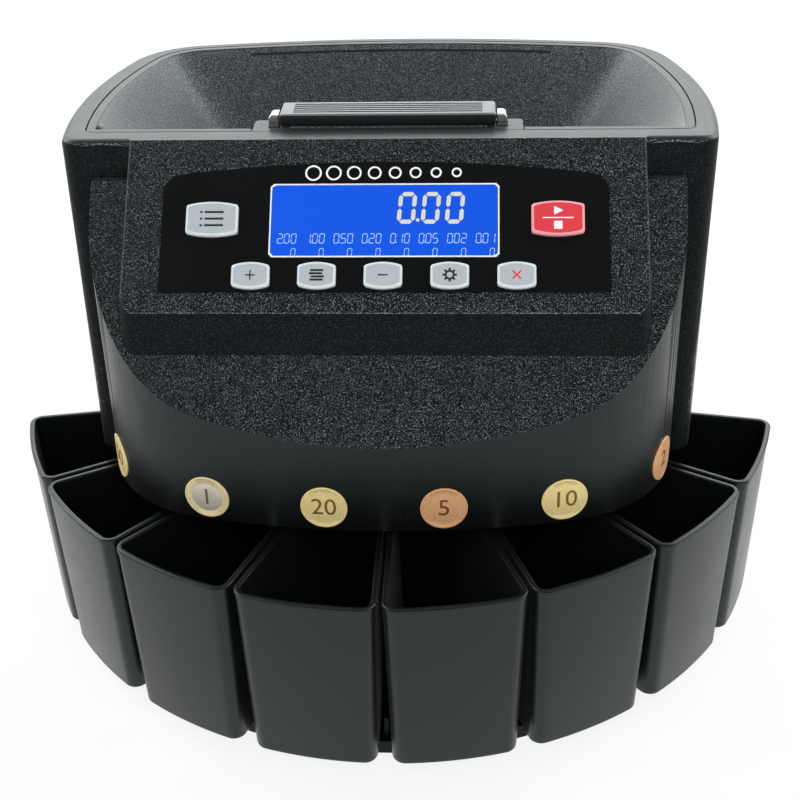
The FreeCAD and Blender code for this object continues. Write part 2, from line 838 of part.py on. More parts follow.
def key_board():
    """Circuit board behind the block's face, with one push switch under each key."""
    low = -board_depth - board_thickness
    board = box((-board_half_width, -board_bottom, low), (board_half_width, -board_top, -board_depth))
    half = switch_size / 2
    top = -board_depth + switch_height()
    switches = [box((x - half, y - half, -board_depth), (x + half, y + half, top))
                for name, size, x, y in key_places()]
    return on_panel(board.multiFuse(switches).removeSplitter())


# Carrying handle that pulls up on two straps

def strap_x(side):
    return side * (grip_length / 2 + strap_width / 2 + strap_end_gap)


def handle_grip():
    """Flat ribbed bar with a tang at each end that the strap holds."""
    low_y, high_y = grip_front_y, grip_front_y + grip_depth
    top = grip_bottom + grip_height
    half = grip_length / 2
    bar = box((-half, low_y, grip_bottom), (half, high_y, top))
    bar = bar.makeFillet(grip_round, bar.Edges)
    pitch = (grip_depth - 2 * groove_margin) / groove_count
    grooves = []
    for index in range(groove_count):
        y = low_y + groove_margin + pitch * (index + 0.5)
        grooves.append(box((groove_end - half, y - groove_width / 2, top - groove_depth),
                           (half - groove_end, y + groove_width / 2, top + cut_margin)))
    tangs = []
    for side in (-1, 1):
        ends = sorted((side * (half - groove_end), side * (half + strap_end_gap)))
        tangs.append(box((ends[0], strap_y - strap_depth / 4, grip_bottom + strap_tang),
                         (ends[1], strap_y + strap_depth / 4, top - strap_tang)))
    return bar.cut(grooves[0].multiFuse(grooves[1:])).multiFuse(tangs).removeSplitter()


def strap_box(side, grow, low_z, high_z):
    """Upright block about a strap, larger than it by grow on each side."""
    x = strap_x(side)
    half_w, half_d = strap_width / 2 + grow, strap_depth / 2 + grow
    return box((x - half_w, strap_y - half_d, low_z), (x + half_w, strap_y + half_d, high_z))


def handle_strap(side):
    """Steel strap: runs from the grip's end down through its guide, with a stop foot below the rim."""
    x = strap_x(side)
    top = grip_bottom + grip_height - grip_round / 2
    low = rim_z - strap_length
    strap = strap_box(side, 0.0, low, top)
    crown = [edge for edge in strap.Edges if edge.BoundBox.ZMin > top - pick_slack
             and edge.BoundBox.YLength > pick_slack and abs(edge.BoundBox.XMin) > abs(x)]
    strap = strap.makeFillet(strap_width / 2, crown)
    foot = strap_box(side, strap_foot_grow, low, low + strap_foot_height)
    return strap.fuse(foot).removeSplitter()


def guide_solid(side, grow, low_z, high_z):
    """Outside of a strap guide's channel, grown by a clearance."""
    return strap_box(side, strap_foot_grow + strap_gap + guide_wall + grow, low_z - grow, high_z)


def guide_tab(side, grow, high_z):
    """Flat tab of a guide, in the rim's rebate and over the hopper's mouth, grown by a clearance."""
    reach = strap_foot_grow + strap_gap + guide_wall
    inner = side * (abs(strap_x(side)) - strap_width / 2 - reach - guide_tab_ear - grow)
    outer = side * (abs(strap_x(side)) + strap_width / 2 + reach + guide_tab_reach + grow)
    back = strap_y + strap_depth / 2 + reach + grow
    tab = box((min(inner, outer), body_front_y + rim_front_width + seam_gap - grow, rim_z - lip_depth),
              (max(inner, outer), back, high_z))
    corners = [edge for edge in tab.Edges if edge.BoundBox.YMin > back - pick_slack
               and edge.BoundBox.ZLength > pick_slack]
    return tab.makeFillet(guide_tab_round, corners)


def handle_guide(side):
    """Moulded guide: a closed channel for the strap and its foot, with a tab on the rim's ledge."""
    low = rim_z - guide_depth
    channel = guide_solid(side, 0.0, low, rim_z)
    slot = strap_box(side, strap_gap, low, rim_z + cut_margin)
    room = strap_box(side, strap_foot_grow + strap_gap, low - cut_margin, rim_z - guide_drop)
    return channel.fuse(guide_tab(side, 0.0, rim_z)).cut(slot.fuse(room)).removeSplitter()


# Coin discs

def badge_skins():
    """Thin layers over the drum's wall and over the body's sides, out of which the coin discs are cut."""
    near, far = -badge_glue, -badge_glue - badge_thickness
    height = strip_z - deck_z
    drum = prism(drum_outline(deck_z, far), height).cut(prism(drum_outline(deck_z, near), height))
    outer = loft(deck_plan.inset(far).outline(deck_z), rim_plan.inset(far).outline(rim_z))
    inner = loft(deck_plan.inset(near).outline(deck_z), rim_plan.inset(near).outline(rim_z))
    return drum, outer.cut(inner)


def badge_spots(drum_skin, body_skin):
    """Place, outward angle and layer of the discs on the right half, from the front to the side."""
    spots = []
    for x in badge_xs:
        spots.append((x, drum_front_at(x), math.degrees(math.asin(x / drum_front_radius)), drum_skin))
    corner_x = drum_corner_at(badge_corner_y)
    lean = math.degrees(math.asin((corner_x - drum_half_width + drum_corner) / drum_corner))
    spots.append((corner_x, badge_corner_y, lean, drum_skin))
    spots.append((deck_plan.side_x(badge_side_y), badge_side_y, badge_side_angle, body_skin))
    return spots


def coin_badges():
    """Thin discs that follow the wall they are stuck on, from the left side to the right."""
    right = badge_spots(*badge_skins())
    left = [(-x, y, -angle, skin) for x, y, angle, skin in reversed(right)]
    discs = []
    for x, y, angle, skin in left + right:
        outward = vec(math.sin(math.radians(angle)), -math.cos(math.radians(angle)))
        start = vec(x, y, deck_z + badge_height) - outward * badge_radius / 2
        discs.append(Part.makeCylinder(badge_radius, badge_radius, start, outward).common(skin))
    return discs


# Lower housing, deck and rear panel

def lower_solid(inset, low_z, height):
    """Plan of the lower housing: a front arc behind the cups joined to the body's rear plan."""
    end_angle = fan_end_angle - math.degrees(inset / lower_arc_radius)
    arc = fan_sector(lower_arc_radius - inset, end_angle, low_z, height)
    rear = prism(lower_plan.inset(inset, min(inset, wall)).outline(low_z), height)
    return arc.fuse(rear).removeSplitter()


def rear_face_y():
    return lower_plan.back_y


def lower_housing():
    height = deck_z - tray_top
    shell = lower_solid(0.0, tray_top, height)
    shell = shell.cut(lower_solid(wall, tray_top - cut_margin, height + cut_margin - wall))
    shell = shell.cut(lower_solid(lower_flange, tray_top, height + cut_margin))
    face = rear_face_y() - panel_recess
    size = (panel_width, panel_height)
    back = rear_face_y() + cut_margin
    frame = back_box(0.0, size, panel_frame, face - panel_plate - wall, face)
    pocket = back_box(0.0, size, 0.0, face - panel_plate, back)
    opening = back_box(0.0, size, -panel_frame, face - panel_plate - wall - cut_margin, face)
    backing = prism(lower_plan.outline(tray_top), height)
    backing = backing.common(back_box(0.0, size, panel_frame, face - cut_margin, back))
    bores = [through(screw_radius, deck_z - wall, deck_z, x, y) for x, y in housing_boss_places()]
    return shell.multiFuse([frame, backing]).cut(pocket.multiFuse([opening] + bores)).removeSplitter()


def deck_plate():
    """Plate that carries drive and rings: the body's plan at the rear, a half disc in front."""
    plan = deck_plan.inset(wall + deck_gap_round)
    plan.front_y = lower_front_y
    plate = prism(plan.outline(deck_z), deck_thickness)
    plate = plate.fuse(fan_sector(chute_inner_radius + chute_wall, 90.0, deck_z, deck_thickness))
    holes = [through(bearing_radius + deck_hole_gap, deck_z, deck_top),
             through(motor_shaft_radius + deck_hole_gap, deck_z, deck_top, 0.0, motor_y)]
    holes += [through(screw_radius, deck_z, deck_top, x, y) for x, y in housing_boss_places()]
    return plate.removeSplitter().cut(holes[0].multiFuse(holes[1:]))


def rear_panel():
    face = rear_face_y() - panel_recess
    low, high = face - panel_plate - cut_margin, face + cut_margin
    plate = back_box(0.0, (panel_width, panel_height), -panel_clearance, face - panel_plate, face)
    holes = [back_box(inlet_x, inlet_size, panel_clearance, low, high),
             back_box(switch_x, switch_body_size(), panel_clearance, low, high)]
    for index in range(vent_count):
        z = panel_centre_z + (index - (vent_count - 1) / 2) * vent_pitch
        holes.append(box((vent_x - vent_length / 2, low, z - vent_width / 2),
                         (vent_x + vent_length / 2, high, z + vent_width / 2)))
    return plate.cut(holes[0].multiFuse(holes[1:]))


def back_box(x, size, grow, low_y, high_y):
    """Box on the rear panel, centred at x, given by its width and height."""
    return box((x - size[0] / 2 - grow, low_y, panel_centre_z - size[1] / 2 - grow),
               (x + size[0] / 2 + grow, high_y, panel_centre_z + size[1] / 2 + grow))


def switch_body_size():
    return (rocker_size[0] + 2 * wall / 2, rocker_size[1] + 2 * wall / 2)


def power_inlet():
    face = rear_face_y() - panel_recess
    flange = back_box(inlet_x, inlet_flange, 0.0, face, face + panel_plate)
    body = back_box(inlet_x, inlet_size, 0.0, face - inlet_depth, face + panel_plate)
    low = face - inlet_depth
    socket = back_box(inlet_x, inlet_size, -panel_plate, low + wall, face + panel_plate + cut_margin)
    spread, rise = inlet_size[0] / 4, inlet_pin_offset
    pins = []
    for dx, dz in ((-spread, -rise), (0.0, rise), (spread, -rise)):
        size = (inlet_pin_width, inlet_pin_height)
        pin = back_box(inlet_x + dx, size, 0.0, low + wall / 2, face - panel_plate)
        pin.translate(vec(0, 0, dz))
        pins.append(pin)
    return flange.fuse(body).cut(socket).multiFuse(pins).removeSplitter()


def rocker_hole(grow):
    face = rear_face_y() - panel_recess
    high = face + panel_plate + cut_margin
    return back_box(switch_x, rocker_size, grow, face - switch_depth + wall, high)


def switch_body():
    face = rear_face_y() - panel_recess
    bezel = back_box(switch_x, switch_bezel, 0.0, face, face + panel_plate / 2)
    body = back_box(switch_x, switch_body_size(), 0.0, face - switch_depth, face)
    return bezel.fuse(body).cut(rocker_hole(0.0)).removeSplitter()


def switch_rocker():
    """Rocker with two slightly dished halves, drawn as a side profile and carried across its width."""
    face = rear_face_y() - panel_recess
    half_h = rocker_size[1] / 2 - rocker_gap
    half_w = rocker_size[0] / 2 - rocker_gap
    crest = face + panel_plate / 2
    inner = face - half_h
    points = [(crest + rocker_proud, panel_centre_z + half_h), (crest + rocker_proud / 4, panel_centre_z),
              (crest, panel_centre_z - half_h), (face - cut_margin, panel_centre_z - half_h),
              (inner, panel_centre_z), (face - cut_margin, panel_centre_z + half_h)]
    rocker = yz_prism(points, half_w)
    rocker.translate(vec(switch_x, 0, 0))
    return rocker.common(swing_room())


def swing_room():
    """Round room the rocker can turn in without touching the bezel."""
    face = rear_face_y() - panel_recess
    axis = vec(switch_x - rocker_size[0], face, panel_centre_z)
    return Part.makeCylinder(rocker_size[1] / 2 - rocker_gap, 2 * rocker_size[0], axis, vec(1, 0, 0))


# Sorting ring, chutes, sensors

def ring_sector(inner, outer, low_z, height):
    """Front arc of a ring, over the whole fan of chutes."""
    arc = fan_sector(outer, fan_end_angle + math.degrees(chute_web / 2 / outer), low_z, height)
    return arc.cut(through(inner, low_z, low_z + height))


def sorting_ring():
    """Band that the coins run on, stepped so that the slot left at the fence lets one size of coin drop."""
    low = ring_top - ring_thickness
    steps = []
    for index, diameter in enumerate(coin_diameters):
        step = fan_sector(fence_radius - diameter - coin_slot_play, cup_pitch / 2, low, ring_thickness)
        steps.append(turned(step, cup_angle(index)))
    band = steps[0].multiFuse(steps[1:])
    return band.cut(through(ring_inner_radius, low, ring_top)).removeSplitter()


def ring_fence():
    """Fence round the front arc, on the outer chute wall, and a wall behind the disc, on the deck."""
    top = ring_top + fence_height
    low = ring_top - ring_thickness
    fence = ring_sector(fence_radius, ring_outer_radius, low, top - low)
    rear = cylinder(ring_inner_radius + ring_rear_wall, deck_top, top)
    rear = rear.cut(through(ring_inner_radius, deck_top, top))
    rear_height = top - deck_top + 2 * cut_margin
    rear = rear.cut(fan_sector(fence_radius, fan_end_angle, deck_top - cut_margin, rear_height))
    return Part.makeCompound([fence, rear])


def chute_ring():
    """Inner wall of the chutes, on the deck's round front, and the outer wall under the fence."""
    inner = ring_sector(chute_inner_radius, chute_inner_radius + chute_wall, deck_top, chute_height)
    outer = ring_sector(fence_radius, ring_outer_radius, deck_top, chute_height)
    return Part.makeCompound([inner, outer])


def chute_dividers():
    """Plates between the chutes, from wall to wall and up to the level that the coins run on."""
    room = cylinder(fence_radius, deck_top, ring_top)
    room = room.cut(through(chute_inner_radius + chute_wall, deck_top, ring_top)).cut(sorting_ring())
    half = chute_web / 2
    plates = []
    for index in range(cup_count + 1):
        plate = box((-half, -fence_radius, deck_top), (half, 0.0, ring_top))
        plates.append(turned(plate, (index - cup_count / 2) * cup_pitch).common(room))
    return Part.makeCompound(plates)


def sensor_arc():
    """Curved board inside the chute ring with one optical eye for each chute."""
    outer = chute_inner_radius - panel_clearance
    inner = outer - sensor_thickness
    low = deck_top
    board = fan_sector(outer, fan_end_angle - sensor_thickness, low, sensor_floor_gap + sensor_height)
    board = board.cut(through(inner, low, low + sensor_floor_gap + sensor_height))
    eyes = []
    for index in range(cup_count):
        eye = box((-sensor_eye / 2, -inner - sensor_thickness / 2, low + sensor_floor_gap),
                  (sensor_eye / 2, -inner + sensor_eye, low + sensor_floor_gap + sensor_eye))
        eyes.append(turned(eye, cup_angle(index)))
    return board.multiFuse(eyes).removeSplitter()


# Feeder disc, gears, shaft, bearings and motor

def feeder_disc():
    """Flat disc with a raised centre cone, turned from one half profile."""
    radius = ring_inner_radius - disc_clearance
    flat_z = ring_top
    points = [vec(shaft_radius, 0, disc_bottom), vec(radius, 0, disc_bottom), vec(radius, 0, flat_z),
              vec(disc_cone_radius, 0, flat_z), vec(shaft_radius * 1.5, 0, flat_z + disc_cone_height),
              vec(shaft_radius, 0, flat_z + disc_cone_height)]
    face = Part.Face(Part.makePolygon(points + [points[0]]))
    return face.revolve(vec(0, 0, 0), vec(0, 0, 1), 360)


def disc_shaft():
    low = deck_z - hub_length - shaft_end
    top = ring_top + disc_cone_height
    shaft = cylinder(shaft_radius, low, top)
    collar = cylinder(shaft_collar_radius, deck_z + panel_clearance, gear_bottom)
    return shaft.fuse(collar).removeSplitter()


def involute_angle(radius, base_radius):
    """Polar angle of an involute where it reaches radius."""
    roll = math.sqrt(max((radius / base_radius) ** 2 - 1.0, 0.0))
    return roll - math.atan(roll)


def gear_outline(teeth, z, turn):
    """Spur gear outline: two straight steps along each involute flank, tip and root lands."""
    pitch_radius = gear_module * teeth / 2
    base_radius = pitch_radius * math.cos(math.radians(pressure_angle))
    root = pitch_radius - tooth_dedendum * gear_module
    tip = pitch_radius + tooth_addendum * gear_module
    half_pitch_angle = math.pi / (2 * teeth) - gear_backlash / 2 / pitch_radius
    flank = [max(root, base_radius), pitch_radius, tip]
    widest = half_pitch_angle + involute_angle(pitch_radius, base_radius)
    offsets = [widest - involute_angle(r, base_radius) for r in flank]
    points = []
    for index in range(teeth):
        middle = 2 * math.pi * index / teeth + math.radians(turn)
        left = [(root, -offsets[0])] + [(r, -a) for r, a in zip(flank, offsets)]
        right = [(r, a) for r, a in zip(flank[::-1], offsets[::-1])] + [(root, offsets[0])]
        if root >= base_radius:
            left, right = left[1:], right[:-1]
        points += [vec(r * math.cos(middle + a), r * math.sin(middle + a), z) for r, a in left + right]
    return Part.makePolygon(points + [points[0]])


def disc_gear():
    gear = prism(gear_outline(gear_teeth, gear_bottom, mesh_angle), gear_width)
    hub = cylinder(gear_hub_radius, gear_bottom, disc_bottom)
    return gear.fuse(hub).cut(through(shaft_radius, gear_bottom, disc_bottom)).removeSplitter()


def motor_pinion():
    """Pinion with its shaft; a tooth gap faces the disc gear's tooth at rest."""
    turn = -mesh_angle + math.degrees(math.pi / pinion_teeth)
    pinion = prism(gear_outline(pinion_teeth, gear_bottom, turn), gear_width)
    shaft = cylinder(motor_shaft_radius, deck_z - gearbox_length / 2, gear_bottom + gear_width)
    whole = pinion.fuse(shaft).removeSplitter()
    whole.translate(vec(0, motor_y, 0))
    return whole


def drive_motor():
    joint_z = deck_z - gearbox_length
    gearbox = cylinder(gearbox_radius, joint_z, deck_z, 0.0, motor_y)
    can = cylinder(motor_radius, joint_z - motor_length, joint_z, 0.0, motor_y)
    bore_z = deck_z - gearbox_length / 2 - running_clearance
    bore = cylinder(motor_shaft_radius + running_clearance, bore_z, deck_z + cut_margin, 0.0, motor_y)
    return gearbox.fuse(can).cut(bore).removeSplitter()


def bearing_hub():
    low = deck_z - hub_length
    flange = cylinder(hub_flange_radius, deck_z - hub_flange_thickness, deck_z)
    hub = cylinder(hub_radius, low, deck_z).fuse(flange)
    seats = [cylinder(bearing_radius, deck_z - bearing_width, deck_z + cut_margin),
             cylinder(bearing_radius, low - cut_margin, low + bearing_width),
             cylinder(shaft_collar_radius, low, deck_z)]
    return hub.cut(seats[0].multiFuse(seats[1:])).removeSplitter()


def bearing(low_z):
    race = cylinder(bearing_radius, low_z, low_z + bearing_width)
    return race.cut(through(shaft_radius + running_clearance, low_z, low_z + bearing_width))


# Electronics and screws

def power_supply():
    """Small supply: a board on four legs with a transformer and two capacitors."""
    sx, sy, sz = supply_size
    low = tray_top
    board_low, top = low + wall, low + wall + board_thickness / 2
    board = box((supply_x - sx / 2, supply_y - sy / 2, board_low),
                (supply_x + sx / 2, supply_y + sy / 2, board_low + board_thickness))
    legs = [cylinder(wall, low, top, supply_x + side * (sx / 2 - wall), supply_y + end * (sy / 2 - wall))
            for side in (-1, 1) for end in (-1, 1)]
    coil = box((supply_x - sx / 3, supply_y - sy / 3, top), (supply_x + sx / 4, supply_y, low + sz))
    caps = [cylinder(sx / 8, top, low + sz - wall, supply_x + sx / 4, supply_y + sy * share)
            for share in (1 / 8, 3 / 8)]
    return board.multiFuse(legs + [coil] + caps).removeSplitter()


def main_board():
    """Upright board with chips and taller parts, placed and sized as shares of the board."""
    thick, sy, sz = main_board_size
    low = tray_top
    face = main_board_x + thick
    board = box((main_board_x, main_board_y - sy / 2, low), (face, main_board_y + sy / 2, low + sz))
    chips = []
    for dy, dz, share, rise in chip_shares:
        y, z, half = main_board_y + dy * sy, low + dz * sz, share * sy / 2
        chips.append(box((face - thick / 2, y - half, z - half / 2),
                         (face + rise * sz, y + half, z + half / 2)))
    return board.multiFuse(chips).removeSplitter()


def deck_screws():
    """Pan-head screws into the housing's bosses, from under the lower housing's flange."""
    screws = []
    for x, y in housing_boss_places():
        seat = deck_z - wall
        tip = deck_top + housing_boss_height / 3
        shank = cylinder(screw_radius - running_clearance, seat - screw_head_height / 2, tip, x, y)
        head = cylinder(screw_head_radius, seat - screw_head_height, seat, x, y)
        screws.append(shank.fuse(head).removeSplitter())
    return Part.makeCompound(screws)


def build():
    pieces = {
        "base_tray": base_tray(), "tray_ribs": tray_ribs(), "rubber_feet": rubber_feet(),
        "lower_housing": lower_housing(), "upper_housing": upper_housing(), "hopper_bowl": hopper_bowl(),
        "deck_plate": deck_plate(), "deck_screws": deck_screws(), "sorting_ring": sorting_ring(),
        "ring_fence": ring_fence(), "chute_ring": chute_ring(), "chute_dividers": chute_dividers(),
        "sensor_arc": sensor_arc(), "feeder_disc": feeder_disc(),
        "disc_shaft": disc_shaft(), "disc_gear": disc_gear(), "motor_pinion": motor_pinion(),
        "drive_motor": drive_motor(), "bearing_hub": bearing_hub(),
        "bearing_upper": bearing(deck_z - bearing_width), "bearing_lower": bearing(deck_z - hub_length),
        "panel_overlay": panel_overlay(), "display_window": display_window(),
        "display_module": display_module(), "key_board": key_board(), "handle_grip": handle_grip(),
        "handle_strap_left": handle_strap(-1), "handle_strap_right": handle_strap(1),
        "handle_guide_left": handle_guide(-1), "handle_guide_right": handle_guide(1),
        "rear_panel": rear_panel(), "power_inlet": power_inlet(), "switch_body": switch_body(),
        "switch_rocker": switch_rocker(), "power_supply": power_supply(), "main_board": main_board()}
    for name, size, x, y in key_places():
        pieces[name] = panel_key(size, x, y)
    cup = coin_cup()
    for index in range(cup_count):
        pieces["coin_cup_%d" % (index + 1)] = turned(cup, cup_angle(index))
    for index, disc in enumerate(coin_badges()):
        pieces["coin_badge_%d" % (index + 1)] = disc
    return pieces


os.makedirs("parts", exist_ok=True)
for node, shape in build().items():
    shape.translate(vec(0, axis_y, 0))
    shape.exportStep("parts/%s.step" % node)
    bounds = shape.BoundBox
    print("%-20s solids %d valid %s volume %9.0f  x %.1f %.1f  y %.1f %.1f  z %.1f %.1f" % (
        node, len(shape.Solids), shape.isValid(), shape.Volume, bounds.XMin, bounds.XMax,
        bounds.YMin, bounds.YMax, bounds.ZMin, bounds.ZMax))
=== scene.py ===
import math

import bmesh
import bpy
import numpy as np
from mathutils import Matrix, Vector


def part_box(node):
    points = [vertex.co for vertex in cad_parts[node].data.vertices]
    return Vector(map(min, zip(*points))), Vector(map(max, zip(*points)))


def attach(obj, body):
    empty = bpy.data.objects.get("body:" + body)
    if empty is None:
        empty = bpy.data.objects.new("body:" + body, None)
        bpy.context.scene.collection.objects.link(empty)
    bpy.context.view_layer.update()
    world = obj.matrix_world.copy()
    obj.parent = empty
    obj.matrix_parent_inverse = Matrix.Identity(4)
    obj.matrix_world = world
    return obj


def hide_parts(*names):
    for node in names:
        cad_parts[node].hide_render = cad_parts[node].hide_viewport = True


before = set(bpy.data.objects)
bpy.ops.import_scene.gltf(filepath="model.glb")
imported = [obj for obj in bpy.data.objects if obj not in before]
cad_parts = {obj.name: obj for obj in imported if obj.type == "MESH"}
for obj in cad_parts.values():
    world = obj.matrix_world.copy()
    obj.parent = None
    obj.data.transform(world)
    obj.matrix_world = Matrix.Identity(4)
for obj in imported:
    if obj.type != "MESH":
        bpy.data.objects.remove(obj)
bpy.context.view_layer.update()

# Looks of the coin sorter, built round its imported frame. Metres, +Z up, front towards -Y.

mm = 0.001
across = np.array((1.0, 0.0, 0.0))
upright = np.array((0.0, 0.0, 1.0))


# Arrays and meshes

def points_of(node):
    """Vertices of a CAD node as an array of rows x, y, z."""
    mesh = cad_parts[node].data
    flat = np.empty(len(mesh.vertices) * 3)
    mesh.vertices.foreach_get("co", flat)
    return flat.reshape(-1, 3)


def grid_faces(rows, columns, closed=True):
    """Quads of a grid of points numbered row by row; closed joins the last column to the first."""
    here = np.arange(columns if closed else columns - 1)
    beside = (here + 1) % columns
    start = np.arange(rows - 1)[:, None] * columns
    quads = np.stack([start + here, start + beside, start + columns + beside, start + columns + here], -1)
    return quads.reshape(-1, 4).tolist()


def capped(rows, columns, first=False, last=True):
    """Faces of a closed grid with one flat face over its first or last row."""
    faces = grid_faces(rows, columns)
    if first:
        faces.append(list(range(columns))[::-1])
    if last:
        faces.append(list(range((rows - 1) * columns, rows * columns)))
    return faces


def quarter(count):
    """Cosines and sines of count angles from nought to a right angle."""
    angle = np.linspace(0, math.pi / 2, count)
    return np.cos(angle), np.sin(angle)


def resampled(loop, count):
    """count points spaced evenly along a closed loop of points, from its first one."""
    ring = np.vstack([loop, loop[:1]])
    length = np.concatenate([[0], np.cumsum(np.hypot(*np.diff(ring, axis=0).T))])
    place = np.linspace(0, length[-1], count, endpoint=False)
    return np.stack([np.interp(place, length, ring[:, axis]) for axis in (0, 1)], -1)


def rounded_loop(half_width, half_height, corner, count=72):
    """Rectangle with round corners: each quarter turn swings about its own corner centre."""
    steps = 64
    angle = (np.arange(steps) + 0.5) * 2 * math.pi / steps
    x = np.sign(np.cos(angle)) * (half_width - corner) + corner * np.cos(angle)
    y = np.sign(np.sin(angle)) * (half_height - corner) + corner * np.sin(angle)
    return resampled(np.stack([x, y], -1), count)


def shown(name, mesh, finishes, body, replaced=(), sharp=38):
    """Links a mesh as a piece that rides on a body, with smooth shading up to edges of a sharp angle."""
    piece = bpy.data.objects.new(name, mesh)
    bpy.context.scene.collection.objects.link(piece)
    mesh.materials.clear()
    for finish in finishes:
        mesh.materials.append(finish)
    mesh.shade_smooth()
    mesh.set_sharp_from_angle(angle=math.radians(sharp))
    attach(piece, body)
    if replaced:
        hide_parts(*replaced)
    return piece


def from_arrays(name, points, faces):
    """Mesh of an array of points and lists of the points of each face."""
    mesh = bpy.data.meshes.new(name)
    mesh.from_pydata(points.tolist(), [], faces)
    return mesh


merge_distance = 0.002 * mm
flat_angle = math.radians(0.4)
bevel_angle = math.radians(24)
bevelled_sharp = 18


def softened(name, node, width, finishes, body, segments=2):
    """Merged copy of a CAD node whose sharp edges are rounded to a width; the last finish is the edges'."""
    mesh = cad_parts[node].data.copy()
    mesh.name = name
    work = bmesh.new()
    work.from_mesh(mesh)
    bmesh.ops.remove_doubles(work, verts=work.verts, dist=merge_distance)
    bmesh.ops.dissolve_limit(work, angle_limit=flat_angle, verts=work.verts, edges=work.edges)
    work.to_mesh(mesh)
    work.free()
    piece = shown(name, mesh, finishes, body, [node], sharp=bevelled_sharp)
    bevel = piece.modifiers.new("moulded edge", "BEVEL")
    bevel.width = width
    bevel.segments = segments
    bevel.limit_method = "ANGLE"
    bevel.angle_limit = bevel_angle
    bevel.harden_normals = True
    bevel.material = len(finishes) - 1
    return piece


# Colours and nodes

def srgb(code):
    """Linear colour of an sRGB hex value."""
    part = np.array([int(code[i:i + 2], 16) / 255 for i in (1, 3, 5)])
    linear = np.where(part <= 0.04045, part / 12.92, ((part + 0.055) / 1.055) ** 2.4)
    return (*linear.tolist(), 1.0)


def add(tree, kind, sockets=None, **settings):
    """Adds a node: settings are its properties, sockets its values or the outputs linked to them."""
    made = tree.nodes.new("ShaderNode" + kind)
    for name, value in settings.items():
        setattr(made, name, value)
    for key, value in (sockets or {}).items():
        if isinstance(value, bpy.types.NodeSocket):
            tree.links.new(value, made.inputs[key])
        else:
            made.inputs[key].default_value = value
    return made


def blank(name):
    """New material with an empty node tree."""
    made = bpy.data.materials.new(name)
    made.use_nodes = True
    made.node_tree.nodes.clear()
    return made


# Materials

cool_gleam = srgb("#eeffff")
patch_size = 24 * mm
ink_mottle = 1.2 * mm
track_pitch = 6 * mm
display_reach = 50 * mm
plastic_swing = (-0.05, 0.06)
metal_swing = (-0.06, 0.08)
even_grain = (1, 1, 1)


def grained_plastic(name, dark, light, grain, depth, rough, sheen=0.0, tips=(0.4, 0.7), gleam=0.5):
    """Moulded plastic or rubber: grain and depth size its texture in mm, tips say where it turns light.

    Spark erosion leaves the mould pitted, so the surface shows rounded bumps. Their tips are painted in the
    light tone: painted glints where it is far paler than the dark tone, a faint mottle where the two are
    near.
    The shader adds a grey sheen where the surface is seen along its slope. Its gloss changes a little from
    patch to patch.
    """
    made = blank(name)
    tree = made.node_tree
    place = add(tree, "TexCoord").outputs["Object"]
    bumps = add(tree, "TexNoise", {"Vector": place, "Scale": 1 / (grain * mm), "Detail": 3.0,
                                   "Roughness": 0.6})
    patches = add(tree, "TexNoise", {"Vector": place, "Scale": 1 / patch_size, "Detail": 3.0})
    tone = add(tree, "MapRange", {"Value": bumps.outputs[0], "From Min": tips[0], "From Max": tips[1]})
    base = add(tree, "Mix", {"Factor": tone.outputs[0], "A": srgb(dark), "B": srgb(light)},
               data_type="RGBA")
    gloss = add(tree, "MapRange", {"Value": patches.outputs[0], "To Min": rough + plastic_swing[0],
                                   "To Max": rough + plastic_swing[1]})
    relief = add(tree, "Bump", {"Height": bumps.outputs[0], "Strength": 1.0, "Distance": depth * mm})
    shader = add(tree, "BsdfPrincipled", {"Base Color": base.outputs["Result"], "IOR": 1.53,
                                          "Roughness": gloss.outputs[0], "Normal": relief.outputs[0],
                                          "Sheen Weight": sheen, "Sheen Roughness": 0.35,
                                          "Specular IOR Level": gleam, "Specular Tint": cool_gleam})
    add(tree, "OutputMaterial", {"Surface": shader.outputs[0]})
    return made


def worn_metal(name, colour, shade, rough, stretch, grain, depth, metal=1.0):
    """Metal: grain in mm, squeezed along the axes by stretch, tints it and lies as fine scratches.

    A metal share below one is metal under a matt print or tarnish, which also shows its own colour.
    """
    made = blank(name)
    tree = made.node_tree
    place = add(tree, "TexCoord").outputs["Object"]
    drawn = add(tree, "Mapping", {"Vector": place, "Scale": stretch})
    lines = add(tree, "TexNoise", {"Vector": drawn.outputs[0], "Scale": 1 / (grain * mm), "Detail": 3.0})
    tint = add(tree, "Mix", {"Factor": lines.outputs[0], "A": srgb(shade), "B": srgb(colour)},
               data_type="RGBA")
    gloss = add(tree, "MapRange", {"Value": lines.outputs[0], "To Min": rough + metal_swing[0],
                                   "To Max": rough + metal_swing[1]})
    relief = add(tree, "Bump", {"Height": lines.outputs[0], "Strength": 0.6, "Distance": depth * mm})
    shader = add(tree, "BsdfPrincipled", {"Base Color": tint.outputs["Result"], "Metallic": metal,
                                          "Roughness": gloss.outputs[0], "Normal": relief.outputs[0]})
    add(tree, "OutputMaterial", {"Surface": shader.outputs[0]})
    return made


def coin_metal(name, colour, shade, rough):
    """Printed coin: mostly its own colour, with an even grain and a soft metal shine."""
    return worn_metal(name, colour, shade, rough, even_grain, grain=1.3, depth=0.03, metal=0.35)


def backlit_display(name):
    """Blue liquid-crystal panel lit from behind: an even glow, a shade deeper towards the right."""
    made = blank(name)
    tree = made.node_tree
    place = add(tree, "SeparateXYZ", {0: add(tree, "TexCoord").outputs["Object"]})
    share = add(tree, "MapRange", {"Value": place.outputs["X"], "From Min": -display_reach,
                                   "From Max": display_reach})
    glow = add(tree, "Mix", {"Factor": share.outputs[0], "A": srgb("#0c5aee"), "B": srgb("#0858ea")},
               data_type="RGBA")
    shader = add(tree, "BsdfPrincipled", {"Base Color": srgb("#04102a"), "Roughness": 0.25, "IOR": 1.49,
                                          "Emission Color": glow.outputs["Result"],
                                          "Emission Strength": 0.92})
    add(tree, "OutputMaterial", {"Surface": shader.outputs[0]})
    return made


